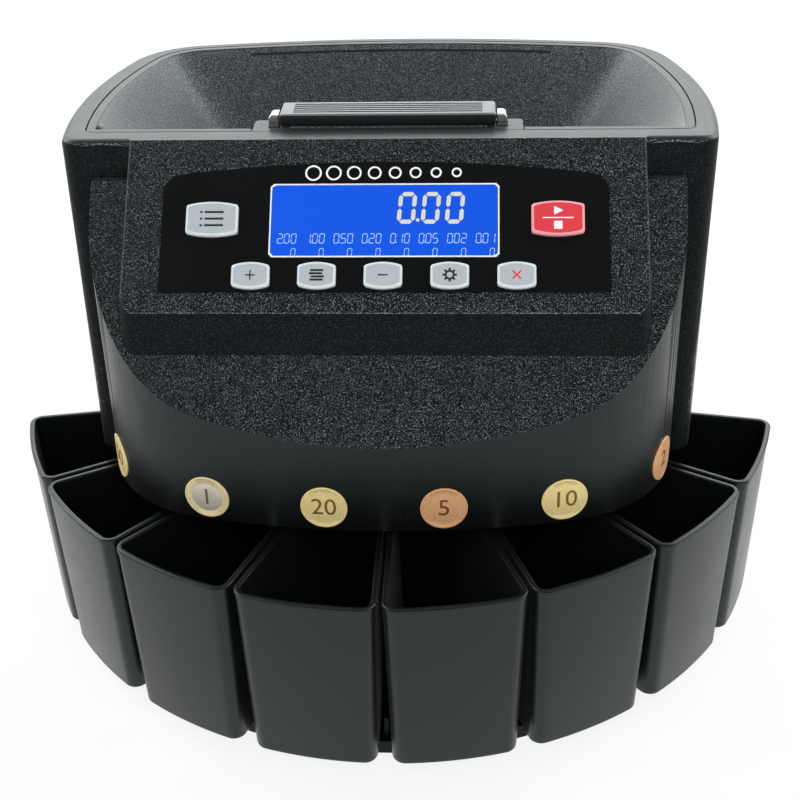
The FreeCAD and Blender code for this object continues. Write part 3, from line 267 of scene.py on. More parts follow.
def printed_ink(name, colour, shade, rough=0.5, lit=0.0):
    """Ink or paint film: a faint mottle of two near tones, lit from behind where it is on the display."""
    made = blank(name)
    tree = made.node_tree
    place = add(tree, "TexCoord").outputs["Object"]
    mottle = add(tree, "TexNoise", {"Vector": place, "Scale": 1 / ink_mottle, "Detail": 2.0})
    tone = add(tree, "Mix", {"Factor": mottle.outputs[0], "A": srgb(shade), "B": srgb(colour)},
               data_type="RGBA")
    shader = add(tree, "BsdfPrincipled", {"Base Color": tone.outputs["Result"], "Roughness": rough,
                                          "IOR": 1.48, "Emission Color": tone.outputs["Result"],
                                          "Emission Strength": lit})
    add(tree, "OutputMaterial", {"Surface": shader.outputs[0]})
    return made


def circuit_board_finish(name):
    """Solder mask over copper: green with straight paler tracks in a fine grid."""
    made = blank(name)
    tree = made.node_tree
    place = add(tree, "TexCoord").outputs["Object"]
    cells = add(tree, "TexBrick", {"Vector": place, "Color1": srgb("#0f4a2b"), "Color2": srgb("#12583a"),
                                   "Mortar": srgb("#2f8a5c"), "Scale": 1 / track_pitch,
                                   "Mortar Size": 0.03})
    shader = add(tree, "BsdfPrincipled", {"Base Color": cells.outputs["Color"], "Roughness": 0.42,
                                          "IOR": 1.5})
    add(tree, "OutputMaterial", {"Surface": shader.outputs[0]})
    return made


# Slopes in front: black bumps whose sparse tips are painted pale grey as painted glints
coarse_abs = grained_plastic("abs_coarse_spark", "#060708", "#868b90", grain=0.52, depth=0.13, rough=0.40,
                             sheen=0.06, tips=(0.54, 0.71), gleam=0.24)
# Walls: deep black with faint painted glints on the bump tips and little shine
fine_abs = grained_plastic("abs_fine_spark", "#050607", "#32363a", grain=0.55, depth=0.10, rough=0.46,
                           tips=(0.52, 0.72), gleam=0.10)
# Drum: smoother black with broad soft highlights
drum_abs = grained_plastic("abs_drum_satin", "#050607", "#1c1f21", grain=0.45, depth=0.08, rough=0.32,
                           sheen=0.04, tips=(0.50, 0.75), gleam=0.36)
# Rounded edges: thin grey lines of painted highlight
edge_highlight_abs = grained_plastic("abs_edge_painted_highlight", "#1e2022", "#8a8e92", grain=0.6, depth=0.04, rough=0.26,
                           sheen=0.30, tips=(0.48, 0.68))
# Rim and guides: satin black with a grey sheen
rim_abs = grained_plastic("abs_rim_satin", "#0b0c0d", "#292b2c", grain=0.5, depth=0.05, rough=0.42,
                          sheen=0.16, tips=(0.45, 0.75))
# Hopper: black plastic painted a lighter grey as painted sheen, with painted glints on its grain
hopper_painted_sheen_abs = grained_plastic("abs_hopper_spark_painted_sheen", "#151719", "#84898d", grain=0.6, depth=0.09, rough=0.44,
                             sheen=1.0, tips=(0.47, 0.70))
# Cups: plain black with long soft highlights
cup_abs = grained_plastic("abs_cup_satin", "#070909", "#0b0d0d", grain=0.6, depth=0.010, rough=0.33,
                          sheen=0.04, gleam=0.36)
# Base: dull black with a fine grain
base_abs = grained_plastic("abs_base_satin", "#060708", "#1a1c1e", grain=0.5, depth=0.06, rough=0.45,
                           tips=(0.48, 0.72), gleam=0.15)
# Rings inside: dark grey, nearly even
ring_abs = grained_plastic("abs_ring_grey", "#1c1c1e", "#252527", grain=0.6, depth=0.03, rough=0.45)
# Film of the panel: flat black with a low even gloss
film = grained_plastic("polycarbonate_film", "#030304", "#060607", grain=0.4, depth=0.004, rough=0.34,
                       gleam=0.35)
# Grip: black rubber; its top is painted a paler grey as painted sheen
grip_rubber = grained_plastic("rubber_grip", "#0b0b0c", "#17181a", grain=0.5, depth=0.03, rough=0.42,
                              sheen=0.20, gleam=0.25)
painted_sheen_grip = grained_plastic("rubber_grip_painted_sheen", "#4c4e50", "#6c6e70", grain=0.5, depth=0.03, rough=0.40,
                           sheen=0.60)
# Feet: dull black rubber
foot_rubber = grained_plastic("rubber_foot", "#0a0a0a", "#151515", grain=0.6, depth=0.05, rough=0.75)
# Inlet, switch and display module: smooth black
nylon = grained_plastic("nylon_black", "#0b0b0c", "#151516", grain=0.5, depth=0.02, rough=0.42)
# Rear panel: black with a fine pebbled coat
powder_coat = grained_plastic("powder_coat_black", "#0c0c0d", "#19191a", grain=0.5, depth=0.05, rough=0.5)
# Keys: soft even grey or red; their paler, glossier border is a painted highlight
key_silicone = grained_plastic("silicone_grey", "#a0a8ac", "#a9b1b5", grain=0.6, depth=0.012, rough=0.44)
key_border_highlight = grained_plastic("silicone_grey_painted_highlight", "#c2c8cb", "#d3d8da", grain=0.6, depth=0.008,
                             rough=0.36)
red_silicone = grained_plastic("silicone_red", "#cc2632", "#d32e39", grain=0.6, depth=0.012, rough=0.44)
red_border_highlight = grained_plastic("silicone_red_painted_highlight", "#dc8a90", "#e4a4a8", grain=0.6, depth=0.008,
                             rough=0.36)
# Gears: ivory white
acetal = grained_plastic("acetal_white", "#d9d8d2", "#e4e3de", grain=0.8, depth=0.01, rough=0.4)
# Straps: nearly a mirror, with faint lines across
bright_steel = worn_metal("steel_bright_plated", "#eeeef0", "#dadadc", rough=0.10, stretch=(1, 1, 6),
                          grain=1.5, depth=0.002)
# Deck, bearings and screws: grey with a cloudy plating
zinc_steel = worn_metal("steel_zinc_plated", "#b9bbbd", "#8f9294", rough=0.36, stretch=even_grain,
                        grain=3.0, depth=0.01)
# Motor: darker grey with lines round its can
motor_steel = worn_metal("steel_motor_can", "#a4a5a6", "#7e8081", rough=0.34, stretch=(1, 1, 8),
                         grain=1.2, depth=0.01)
# Feeder disc: pale, with fine lines round its edge
aluminium = worn_metal("aluminium_turned", "#d2d4d6", "#a9abad", rough=0.30, stretch=(1, 1, 10),
                       grain=0.9, depth=0.012)
# Coins: warm yellow, copper red and silvery faces, with darker numbers
gold_alloy = coin_metal("brass_coin", "#fff0b2", "#ecd082", rough=0.42)
gold_relief = coin_metal("brass_coin_relief", "#8c7034", "#705824", rough=0.46)
copper_plate = coin_metal("copper_coin", "#f8c493", "#d99c6d", rough=0.42)
copper_relief = coin_metal("copper_coin_relief", "#8a5636", "#6e4228", rough=0.46)
pale_brass = coin_metal("brass_coin_pale", "#f3e6b8", "#dccb96", rough=0.42)
white_alloy = coin_metal("cupronickel_coin", "#dbd5c6", "#bbb4a2", rough=0.42)
white_relief = coin_metal("cupronickel_coin_relief", "#756e60", "#5a5448", rough=0.46)
# Display: a clear blue glow
display_blue = backlit_display("display_backlit")
# Prints: flat white, black and red signs
white_print = printed_ink("ink_white", "#e9eaec", "#dcdde0")
black_print = printed_ink("ink_black", "#141416", "#1c1c1f")
red_print = printed_ink("ink_red", "#d63a3c", "#c83034")
# Figures: a pale total over dimmer blue counts
digit_print = printed_ink("display_segments", "#b9b8aa", "#a9a99e", rough=0.4, lit=0.40)
count_print = printed_ink("display_segments_small", "#86a4e4", "#7898de", rough=0.4, lit=0.60)
# Boards: green with a paler grid
board_green = circuit_board_finish("circuit_board_mask")


# Housing and hopper

housing_round = 0.7 * mm
hopper_round = 0.8 * mm
hopper_round_steps = 3
hopper_lip_tilt = 0.95
rim_band = 6 * mm
rim_tilt = 0.5
slope_tilt = 0.4
wall_tilt = 0.05
drum_drop = 40 * mm
crest_drop = 20 * mm
crest_least, crest_most = 0.3, 0.6
crest_sideways = 0.2
housing_finishes = [fine_abs, coarse_abs, rim_abs, drum_abs, edge_highlight_abs]
wall_index, slope_index, rim_index, drum_index, highlight_index = range(len(housing_finishes))


def housing_faces(mesh):
    """Finish of each face: painted highlight on the crests by the panel, satin rim and drum, coarse slopes,
    fine walls.

    A face's tilt is the z of its normal: one looks straight up, nought is an upright wall.
    """
    count = len(mesh.polygons)
    normal, centre = np.empty(count * 3), np.empty(count * 3)
    mesh.polygons.foreach_get("normal", normal)
    mesh.polygons.foreach_get("center", centre)
    sideways, _, tilt = normal.reshape(-1, 3).T
    _, place, height = centre.reshape(-1, 3).T
    rim_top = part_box("upper_housing")[1].z
    film_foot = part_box("panel_overlay")[0].z
    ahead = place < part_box("handle_grip")[0].y
    on_rim = (height > rim_top - rim_band) & (tilt > rim_tilt)
    on_slope = ahead & (tilt > slope_tilt)
    on_drum = ahead & (np.abs(tilt) < wall_tilt) & (height < film_foot - drum_drop)
    # Crests by the panel take the painted highlight finish
    on_crest = ahead & (tilt > crest_least) & (tilt < crest_most) & (height > film_foot - crest_drop)
    on_crest &= np.abs(sideways) < crest_sideways
    index = np.select([on_crest, on_rim, on_slope, on_drum],
                      [highlight_index, rim_index, slope_index, drum_index], wall_index)
    mesh.polygons.foreach_set("material_index", index.astype(np.int32))


def finish_tops(piece, least):
    """Gives the second finish to the faces that look up, whose normal's z is over the least."""
    facing = np.empty(len(piece.data.polygons) * 3)
    piece.data.polygons.foreach_get("normal", facing)
    tops = facing.reshape(-1, 3)[:, 2] > least
    piece.data.polygons.foreach_set("material_index", tops.astype(np.int32))


# The housing's bevels are painted light grey as a painted highlight
housing = softened("housing_shell", "upper_housing", housing_round, housing_finishes, "housing")
housing_faces(housing.data)
# The hopper's walls take the painted sheen; its faces that look up keep the rim's finish
hopper = softened("hopper_shell", "hopper_bowl", hopper_round, [hopper_painted_sheen_abs, rim_abs], "housing",
                  hopper_round_steps)
finish_tops(hopper, hopper_lip_tilt)


# Coin cups

shaft_low, shaft_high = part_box("disc_shaft")
axis_y = (shaft_low.y + shaft_high.y) / 2


def polar(points):
    """Distance from the disc's axis and angle from straight ahead, positive to the right."""
    x, y = points[:, 0], points[:, 1] - axis_y
    return np.hypot(x, y), np.arctan2(x, -y)


def middle_angle(node):
    """Angle of the middle of a node's spread, from straight ahead."""
    angle = polar(points_of(node))[1]
    return (angle.min() + angle.max()) / 2


cup_count = 8
cup_nodes = ["coin_cup_%d" % (k + 1) for k in range(cup_count)]
cup_pitch = (middle_angle(cup_nodes[-1]) - middle_angle(cup_nodes[0])) / (cup_count - 1)
cup_low, cup_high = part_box(cup_nodes[0])
cup_radii = polar(points_of(cup_nodes[0]))[0]
cup_wall = 2.2 * mm
cup_floor = 2.6 * mm
cup_corner = 6.0 * mm
cup_taper = 3.4 * mm
cup_draft = 1.8 * mm
cup_gap = 1.3 * mm
cup_lip = 0.35 * mm
cup_lip_height = 2.2 * mm
cup_rim_round = 0.75 * mm
cup_foot_round = 2.0 * mm
cup_floor_round = 3.0 * mm
cup_least_corner = 1.0 * mm
cup_round_points = 6
front_points, back_points = 14, 8
bend_points, hook_points = 9, 6


def spread(start, end, count):
    """count values from start to end, one row for each pair."""
    return start[:, None] + (end - start)[:, None] * np.linspace(0, 1, count)


def corner_centre(radius, depth):
    """Centres at a radius from the axis and a depth inside the gap line, half a pitch off ahead."""
    reach = np.sqrt(radius ** 2 - depth ** 2)
    cos, sin = math.cos(cup_pitch / 2), math.sin(cup_pitch / 2)
    return reach * sin - depth * cos, -reach * cos - depth * sin


def wedge_rows(inset, height):
    """Cup plans, one row for each inset and height.

    Half a plan is a front arc about the axis, an arc about the front corner's centre, an arc about the
    back corner's centre and a back arc about the axis. The other half is its mirror image. Plans shrink
    downwards.
    """
    share = (cup_high.z - height) / (cup_high.z - cup_low.z)
    outer = cup_radii.max() - cup_lip - cup_taper * share - inset
    inner = cup_radii.min() + cup_lip + inset
    corner = np.maximum(cup_corner - inset, cup_least_corner)
    depth = cup_gap + cup_draft * share + inset + corner
    turn = np.full_like(inset, cup_pitch / 2)
    front_x, front_y = corner_centre(outer - corner, depth)
    back_x, back_y = corner_centre(inner + corner, depth)
    ahead = spread(np.zeros_like(inset), np.arctan2(front_x, -front_y), front_points)
    behind = spread(np.arctan2(back_x, -back_y), np.zeros_like(inset), back_points)
    bend = spread(np.arctan2(front_y, front_x), turn, bend_points)
    hook = spread(turn, np.arctan2(-back_y, -back_x), hook_points)
    x = [outer[:, None] * np.sin(ahead), front_x[:, None] + corner[:, None] * np.cos(bend[:, 1:]),
         back_x[:, None] + corner[:, None] * np.cos(hook), inner[:, None] * np.sin(behind[:, 1:])]
    y = [-outer[:, None] * np.cos(ahead), front_y[:, None] + corner[:, None] * np.sin(bend[:, 1:]),
         back_y[:, None] + corner[:, None] * np.sin(hook), -inner[:, None] * np.cos(behind[:, 1:])]
    right = np.stack([np.hstack(x), np.hstack(y)], -1)
    left = right[:, -2:0:-1] * (-1, 1)
    return np.concatenate([right, left], 1)


def cup_profile():
    """Inset and height of each row: foot round, wall, lip, rim round, inside and floor round."""
    cos, sin = quarter(cup_round_points)
    top, floor = cup_high.z, cup_low.z + cup_floor
    crown = top - cup_rim_round
    foot = np.stack([cup_foot_round * (1 - sin), cup_low.z + cup_foot_round * (1 - cos)], -1)
    lip = np.array([(0, top - cup_lip_height - cup_lip), (-cup_lip, top - cup_lip_height)])
    rim_out = np.stack([cup_rim_round * (1 - cos) - cup_lip, crown + cup_rim_round * sin], -1)
    rim_in = np.stack([cup_wall - cup_rim_round * (1 - sin), crown + cup_rim_round * cos], -1)
    floor_in = np.stack([cup_wall + cup_floor_round * (1 - cos), floor + cup_floor_round * (1 - sin)], -1)
    return np.vstack([[(cup_wall + cup_floor_round, cup_low.z)], foot, lip, rim_out, rim_in, floor_in])


def coin_cups():
    """Eight cups: the same plans turned to the angle of each."""
    inset, height = cup_profile().T
    plans = wedge_rows(inset, height)
    rows, columns = plans.shape[:2]
    faces = capped(rows, columns, first=True)
    for index, node in enumerate(cup_nodes):
        angle = middle_angle(node)
        cos, sin = math.cos(angle), math.sin(angle)
        x = plans[..., 0] * cos - plans[..., 1] * sin
        y = plans[..., 0] * sin + plans[..., 1] * cos + axis_y
        z = np.broadcast_to(height[:, None], x.shape)
        points = np.stack([x, y, z], -1).reshape(-1, 3)
        mesh = from_arrays("cup_shell_%d" % (index + 1), points, faces)
        shown(mesh.name, mesh, [cup_abs], "cup_%d" % (index + 1), [node])


coin_cups()


# Control panel

overlay_points = points_of("panel_overlay")
panel_normal = np.linalg.svd(overlay_points - overlay_points.mean(0))[2][2]
panel_normal = panel_normal * np.sign(panel_normal[2])
panel_up = np.cross(panel_normal, across)
panel_level = (overlay_points @ panel_normal).max()


def on_panel(flat, height):
    """Points of the panel: flat rows are x and the distance up the slope, height is above the film."""
    height = np.broadcast_to(np.asarray(height, float), flat.shape[:-1])
    return (flat[..., :1] * across + flat[..., 1:] * panel_up
            + (panel_level + height[..., None]) * panel_normal).reshape(-1, 3)


def panel_extent(node, above=-1.0):
    """Lowest and highest x and distance up the slope of a node's points that stand above a height."""
    points = points_of(node)
    points = points[points @ panel_normal > panel_level + above]
    flat = np.stack([points @ across, points @ panel_up], -1)
    return flat.min(0), flat.max(0)


def slabs(shapes, low, high):
    """Flat printed shapes with a thickness: each outline is a side wall of quads and a top face."""
    points, faces = [], []
    for shape in shapes:
        start = sum(len(part) for part in points)
        count = len(shape)
        rows = np.stack([shape, shape])
        points.append(on_panel(rows, np.array([[low], [high]])))
        faces += [[start + number for number in face] for face in capped(2, count)]
    return np.vstack(points), faces


ink_depth = 0.06 * mm


def printed(name, shapes, finish, body, low, thickness=ink_depth):
    """Flat shapes printed on the panel from a low height, as one piece."""
    points, faces = slabs(shapes, low, low + thickness)
    return shown(name, from_arrays(name, points, faces), [finish], body)


def bar(x, y, width, height):
    """Rectangle about a centre, anticlockwise."""
    return np.array([(x - width / 2, y - height / 2), (x + width / 2, y - height / 2),
                     (x + width / 2, y + height / 2), (x - width / 2, y + height / 2)])


def turned_shape(shape, angle, centre):
    """Outline turned anticlockwise about a centre."""
    cos, sin = math.cos(angle), math.sin(angle)
    x, y = (shape - centre).T
    return np.stack([x * cos - y * sin, x * sin + y * cos], -1) + centre


def ring_band(x, y, radius, width, low, high, count=48):
    """Raised ring: a square band carried round a circle."""
    angle = np.linspace(0, 2 * math.pi, count, endpoint=False)
    circle = np.stack([np.cos(angle), np.sin(angle)], -1)
    radii = np.array([radius, radius, radius - width, radius - width])
    flat = circle[None] * radii[:, None, None] + (x, y)
    return on_panel(flat, np.array([low, high, high, low])[:, None]), grid_faces(4, count)


key_corner = 0.9 * mm
key_least_corner = 0.4 * mm
key_bow = 1.5 * mm
key_outline_points = 84
key_cap_least = 0.6 * mm
# Rows of a key from the foot of its skirt to its face: insets, and heights above the film
key_insets = np.array([0.0, 0.0, 0.08, 0.22, 0.78, 0.92, 1.06, 1.6]) * mm
key_heights = np.array([-2.6, 0.95, 1.2, 1.34, 1.66, 1.68, 1.54, 1.5]) * mm
key_border_bands = 6
key_face = key_heights[-1]


def key_rows(low, high, insets):
    """Key plans: a rectangle with round corners whose upper and lower edges bow out along a parabola."""
    centre = (low + high) / 2
    half_width, half_height = (high - low) / 2
    straight = half_height - key_bow
    rows = []
    for inset in insets:
        loop = rounded_loop(half_width - inset, straight - inset, max(key_corner - inset, key_least_corner),
                            key_outline_points)
        rise = key_bow * (1 - (loop[:, 0] / (half_width - inset)) ** 2) * loop[:, 1] / (straight - inset)
        rows.append(loop + np.stack([np.zeros_like(rise), rise], -1) + centre)
    return np.stack(rows)


def panel_key(node, face_finish, border_finish):
    """Silicone key: upright skirt, sloped border painted bright as a painted highlight, and a flat face a
    little below its crest.
    """
    low, high = panel_extent(node, key_cap_least)
    flat = key_rows(low, high, key_insets)
    points = on_panel(flat, key_heights[:, None])
    rows, columns = flat.shape[:2]
    mesh = from_arrays(node + "_cap", points, capped(rows, columns))
    shown(mesh.name, mesh, [face_finish, border_finish], "body_" + node, [node])
    band = np.arange(len(mesh.polygons)) < key_border_bands * columns
    mesh.polygons.foreach_set("material_index", band.astype(np.int32))
    return (low + high) / 2


key_nodes = ["key_report", "key_plus", "key_batch", "key_minus", "key_set", "key_clear"]
key_centres = {node: panel_key(node, key_silicone, key_border_highlight) for node in key_nodes}
key_centres["key_start_stop"] = panel_key("key_start_stop", red_silicone, red_border_highlight)


# Signs on the keys

sign_line = 0.9 * mm
list_rises = (3.0 * mm, 0.0, -3.0 * mm)
list_marks = ((-4.6 * mm, 1.0 * mm), (1.0 * mm, 8.2 * mm))
plus_arm, plus_stroke = 4.2 * mm, 0.55 * mm
stack_width = 5.6 * mm
stack_rise = 1.4 * mm
stack_shifts = (0.0, 0.5 * mm, -0.3 * mm, 0.2 * mm)
tick_count = 8
tick_length = 1.0 * mm
tick_reach = 2.55 * mm
set_radius, set_width = 2.1 * mm, 0.8 * mm
cross_arm, cross_stroke = 5.2 * mm, 0.7 * mm
start_back, start_tip, start_half = 1.7 * mm, 2.3 * mm, 2.0 * mm
start_rise = 3.3 * mm
middle_line, middle_stroke = 13.0 * mm, 0.5 * mm
stop_size = 3.6 * mm


def crossed_bars(x, y, arm, stroke):
    """A level bar with half an upright bar over it and half under it."""
    shift, half = (arm + stroke) / 4, (arm - stroke) / 2
    return [bar(x, y, arm, stroke), bar(x, y + shift, stroke, half), bar(x, y - shift, stroke, half)]


def list_sign(x, y):
    """Three lines, each with a dot ahead of it."""
    return [bar(x + shift, y + rise, width, sign_line)
            for rise in list_rises for shift, width in list_marks]


def plus_sign(x, y):
    """An upright cross."""
    return crossed_bars(x, y, plus_arm, plus_stroke)


def stack_sign(x, y):
    """Bars piled up a little out of line."""
    low = y - stack_rise * (len(stack_shifts) - 1) / 2
    return [bar(x + shift, low + stack_rise * row, stack_width, sign_line)
            for row, shift in enumerate(stack_shifts)]


def minus_sign(x, y):
    """A level bar as long as the plus."""
    return [bar(x, y, plus_arm, plus_stroke)]


def tick_sign(x, y):
    """Ticks that point outwards all round."""
    tick = bar(x, y + tick_reach, sign_line, tick_length)
    return [turned_shape(tick, 2 * math.pi * number / tick_count, (x, y)) for number in range(tick_count)]


def cross_sign(x, y):
    """A cross that lies aslant."""
    parts = crossed_bars(x, y, cross_arm, cross_stroke)
    return [turned_shape(part, math.radians(45), (x, y)) for part in parts]


def start_stop_sign(x, y):
    """A triangle over a line over a square."""
    middle = y + start_rise
    triangle = np.array([(x - start_back, middle - start_half), (x + start_tip, middle),
                         (x - start_back, middle + start_half)])
    return [triangle, bar(x, y, middle_line, middle_stroke), bar(x, y - start_rise, stop_size, stop_size)]


def key_sign(key, shape, ink):
    """Prints a sign on the face of a key."""
    node = "key_" + key
    printed("sign_" + key, shape(*key_centres[node]), ink, "body_" + node, key_face)


def set_ring():
    """Ring inside the ticks."""
    x, y = key_centres["key_set"]
    points, faces = ring_band(x, y, set_radius, set_width, key_face, key_face + ink_depth)
    mesh = from_arrays("sign_set_ring", points, faces)
    shown(mesh.name, mesh, [black_print], "body_key_set")


key_sign("report", list_sign, black_print)
key_sign("plus", plus_sign, black_print)
key_sign("batch", stack_sign, black_print)
key_sign("minus", minus_sign, black_print)
key_sign("set", tick_sign, black_print)
set_ring()
key_sign("clear", cross_sign, red_print)
key_sign("start_stop", start_stop_sign, white_print)


# Display

window_low, window_high = panel_extent("display_window")
window_centre = (window_low + window_high) / 2
window_half = (window_high - window_low) / 2
window_corner = 1.6 * mm
border_points = 120
face_points = 96
display_level = -0.05 * mm
display_depth = -0.8 * mm
figure_lift = 0.02 * mm
figure_depth = 0.04 * mm
figure_lean = 0.08
point_size = 0.11
point_rise = 0.06
total_shift, total_rise = 58.6 * mm, 16.0 * mm
total_size = {"width": 6.0 * mm, "height": 12.6 * mm, "gap": 4.3 * mm, "thick": 0.15}
value_rise = 6.4 * mm
value_size = {"width": 2.0 * mm, "height": 4.2 * mm, "gap": 0.95 * mm, "thick": 0.09}
count_shift, count_rise = 5.8 * mm, 0.3 * mm
count_size = {"width": 1.8 * mm, "height": 3.6 * mm, "gap": 0.95 * mm, "thick": 0.09}
column_start, column_pitch = 4.6 * mm, 12.15 * mm
column_values = ("2.00", "1.00", "0.50", "0.20", "0.10", "0.05", "0.02", "0.01")


def window_rows(insets, count):
    """Outlines of the window, one row for each inset."""
    return np.stack([rounded_loop(*(window_half - inset), window_corner, count) + window_centre
                     for inset in insets])


def display_border():
    """White frame: a low rounded band carried round the window's rounded rectangle."""
    insets = np.array([0.0, 0.0, 0.12, 0.5, 0.62, 0.62]) * mm
    heights = np.array([-0.5, 0.1, 0.25, 0.25, 0.12, -0.5]) * mm
    points = on_panel(window_rows(insets, border_points), heights[:, None])
    mesh = from_arrays("display_border", points, grid_faces(len(insets), border_points))
    shown(mesh.name, mesh, [white_print], "housing", ["display_window"])


def display_face():
    """Blue panel behind the frame: a flat sheet with its edge turned down."""
    insets = np.array([0.5, 0.5, 1.0]) * mm
    heights = np.array([display_depth, display_level, display_level])
    points = on_panel(window_rows(insets, face_points), heights[:, None])
    mesh = from_arrays("display_face", points, capped(len(insets), face_points))
    shown(mesh.name, mesh, [display_blue], "housing")


def segment_shapes(thick):
    """Seven bars in a cell of width 1 and height 2: top, two right, bottom, two left and middle."""
    reach, room = 0.5, 0.05

    def level(y):
        end = reach - room
        return np.array([(-end, y), (-end + thick, y - thick), (end - thick, y - thick),
                         (end, y), (end - thick, y + thick), (-end + thick, y + thick)])

    def post(x, low):
        foot, head = low + room, low + 1 - room
        return np.array([(x, foot), (x + thick, foot + thick), (x + thick, head - thick),
                         (x, head), (x - thick, head - thick), (x - thick, foot + thick)])

    return [level(2.0), post(reach, 1.0), post(reach, 0.0), level(0.0),
            post(-reach, 0.0), post(-reach, 1.0), level(1.0)]


figure_segments = {"0": (0, 1, 2, 3, 4, 5), "1": (1, 2), "2": (0, 1, 6, 4, 3), "5": (0, 5, 6, 2, 3)}


def figures(text, x, y, width, height, gap, thick):
    """Outlines of a number in seven-bar figures that lean a little; a point is a small square."""
    bars = segment_shapes(thick)
    shapes = []
    for sign in text:
        if sign == ".":
            shapes.append(bar(x - (width + gap) / 2, y + point_rise * height, point_size * height,
                              point_size * height))
            continue
        for number in figure_segments[sign]:
            cell = bars[number] * (width, height / 2)
            lean = figure_lean * cell[:, 1]
            shapes.append(cell + np.stack([lean, np.zeros_like(lean)], -1) + (x, y))
        x += width + gap
    return shapes


def display_figures():
    """A large total and a row of small numbers over a row of counts, eight across."""
    low = display_level + figure_lift
    left, bottom = window_low
    total = figures("0.00", left + total_shift, bottom + total_rise, **total_size)
    small = []
    for column, text in enumerate(column_values):
        x = left + column_start + column_pitch * column
        small += figures(text, x, bottom + value_rise, **value_size)
        small += figures("0", x + count_shift, bottom + count_rise, **count_size)
    printed("display_total", total, digit_print, "housing", low, figure_depth)
    printed("display_counts", small, count_print, "housing", low, figure_depth)


def panel_rings():
    """Row of plain rings on the film above the display, graded in size as the coins are."""
    radii = np.linspace(3.6, 2.2, cup_count) * mm
    places = np.linspace(-31, 31, cup_count) * mm
    width, low, high = 0.8 * mm, -0.01 * mm, 0.05 * mm
    y = window_high[1] + 5.0 * mm
    points, faces, start = [], [], 0
    for x, radius in zip(places, radii):
        ring, quads = ring_band(x, y, radius, width, low, high)
        points.append(ring)
        faces += [[start + number for number in quad] for quad in quads]
        start += len(ring)
    mesh = from_arrays("panel_rings", np.vstack(points), faces)
    shown(mesh.name, mesh, [white_print], "housing")


display_border()
display_face()
display_figures()
panel_rings()


# Coin discs on the drum and the sides

coin_signs = ("2", "50", "1", "20", "5", "10", "2", "1")
coin_slots = ("coin_bicolour", "coin_gold", "coin_bicolour", "coin_gold", "coin_copper", "coin_gold",
              "coin_copper", "coin_copper")
coin_finishes = {"coin_bicolour": (pale_brass, white_alloy, white_relief),
                 "coin_gold": (gold_alloy, gold_alloy, gold_relief),
                 "coin_copper": (copper_plate, copper_plate, copper_relief)}
# Rings of a coin from its edge to its middle, as shares of its radius, with the heights of its raised rim
coin_shares = np.array([1.0, 1.0, 0.985, 0.95, 0.93, 0.915, 0.70, 0.685, 0.67, 0.3, 0.05])
coin_rim_heights = np.array([-0.2, 0.26, 0.36, 0.38, 0.34]) * mm
coin_field = 0.22 * mm
coin_seam = 0.15 * mm
coin_seam_row = 7
coin_columns = 72
number_share = 1.12
number_depth = 0.2 * mm


class CoinPlace:
    """Tangent plane of a coin disc, with its bend found by fitting a quadratic to the disc's own points."""

    def __init__(self, node):
        points = points_of(node)
        self.centre = (points.min(0) + points.max(0)) / 2
        normal = np.linalg.svd(points - points.mean(0))[2][2]
        outward = self.centre - (0, axis_y, self.centre[2])
        self.normal = normal * np.sign(normal @ outward)
        side = np.cross(upright, self.normal)
        self.side = side / np.linalg.norm(side)
        self.up = np.cross(self.normal, self.side)
        u, v, w = ((points - self.centre) @ axis for axis in (self.side, self.up, self.normal))
        self.radius = np.hypot(u, v).max()
        self.bend = np.linalg.lstsq(np.stack([np.ones_like(u), u, v, u * u], -1), w, rcond=None)[0]

    def wrapped(self, u, v, height):
        """Points at u and v across the disc, height above its middle layer."""
        terms = np.stack([np.ones_like(u), u, v, u * u], -1)
        lift = terms @ self.bend + height
        return (self.centre + u[..., None] * self.side + v[..., None] * self.up
                + lift[..., None] * self.normal).reshape(-1, 3)


def coin_disc(index):
    """Coin: edge, raised rim and field as rings about the centre, wrapped on the wall."""
    node = "coin_badge_%d" % (index + 1)
    place = CoinPlace(node)
    slot = coin_slots[index]
    heights = np.full(len(coin_shares), coin_field)
    heights[:len(coin_rim_heights)] = coin_rim_heights
    if slot == "coin_bicolour":
        heights[coin_seam_row] = coin_seam
    angle = np.linspace(0, 2 * math.pi, coin_columns, endpoint=False)
    u = place.radius * coin_shares[:, None] * np.cos(angle)
    v = place.radius * coin_shares[:, None] * np.sin(angle)
    points = place.wrapped(u, v, np.broadcast_to(heights[:, None], u.shape))
    mesh = from_arrays("coin_disc_%d" % (index + 1), points, capped(len(coin_shares), coin_columns))
    shown(mesh.name, mesh, coin_finishes[slot][:2], "housing", [node])
    inner = np.arange(len(mesh.polygons)) >= coin_seam_row * coin_columns
    mesh.polygons.foreach_set("material_index", inner.astype(np.int32))
    return place


def text_mesh(text, size, thickness):
    """Mesh of a plain number, centred on the origin, lying flat."""
    curve = bpy.data.curves.new("number", "FONT")
    curve.body = text
    curve.size = size
    curve.extrude = thickness / 2
    curve.align_x = "CENTER"
    curve.align_y = "CENTER"
    holder = bpy.data.objects.new("number", curve)
    bpy.context.scene.collection.objects.link(holder)
    solid = bpy.data.meshes.new_from_object(holder.evaluated_get(bpy.context.evaluated_depsgraph_get()))
    bpy.data.objects.remove(holder)
    bpy.data.curves.remove(curve)
    return solid


def coin_number(index, place):
    """Raised number on a coin: a flat number bent on to the coin's field."""
    mesh = text_mesh(coin_signs[index], number_share * place.radius, number_depth)
    flat = np.empty(len(mesh.vertices) * 3)
    mesh.vertices.foreach_get("co", flat)
    u, v, w = flat.reshape(-1, 3).T
    mesh.vertices.foreach_set("co", place.wrapped(u, v, w + coin_field).ravel())
    mesh.name = "coin_number_%d" % (index + 1)
    slot = coin_slots[index]
    shown(mesh.name, mesh, coin_finishes[slot][2:], "housing")


for coin in range(cup_count):
    coin_number(coin, coin_disc(coin))


# Handle, and the pieces that keep their CAD shape

grip_round = 0.35 * mm
grip_tilt = 0.5
strap_round = 0.4 * mm
guide_round = 0.5 * mm

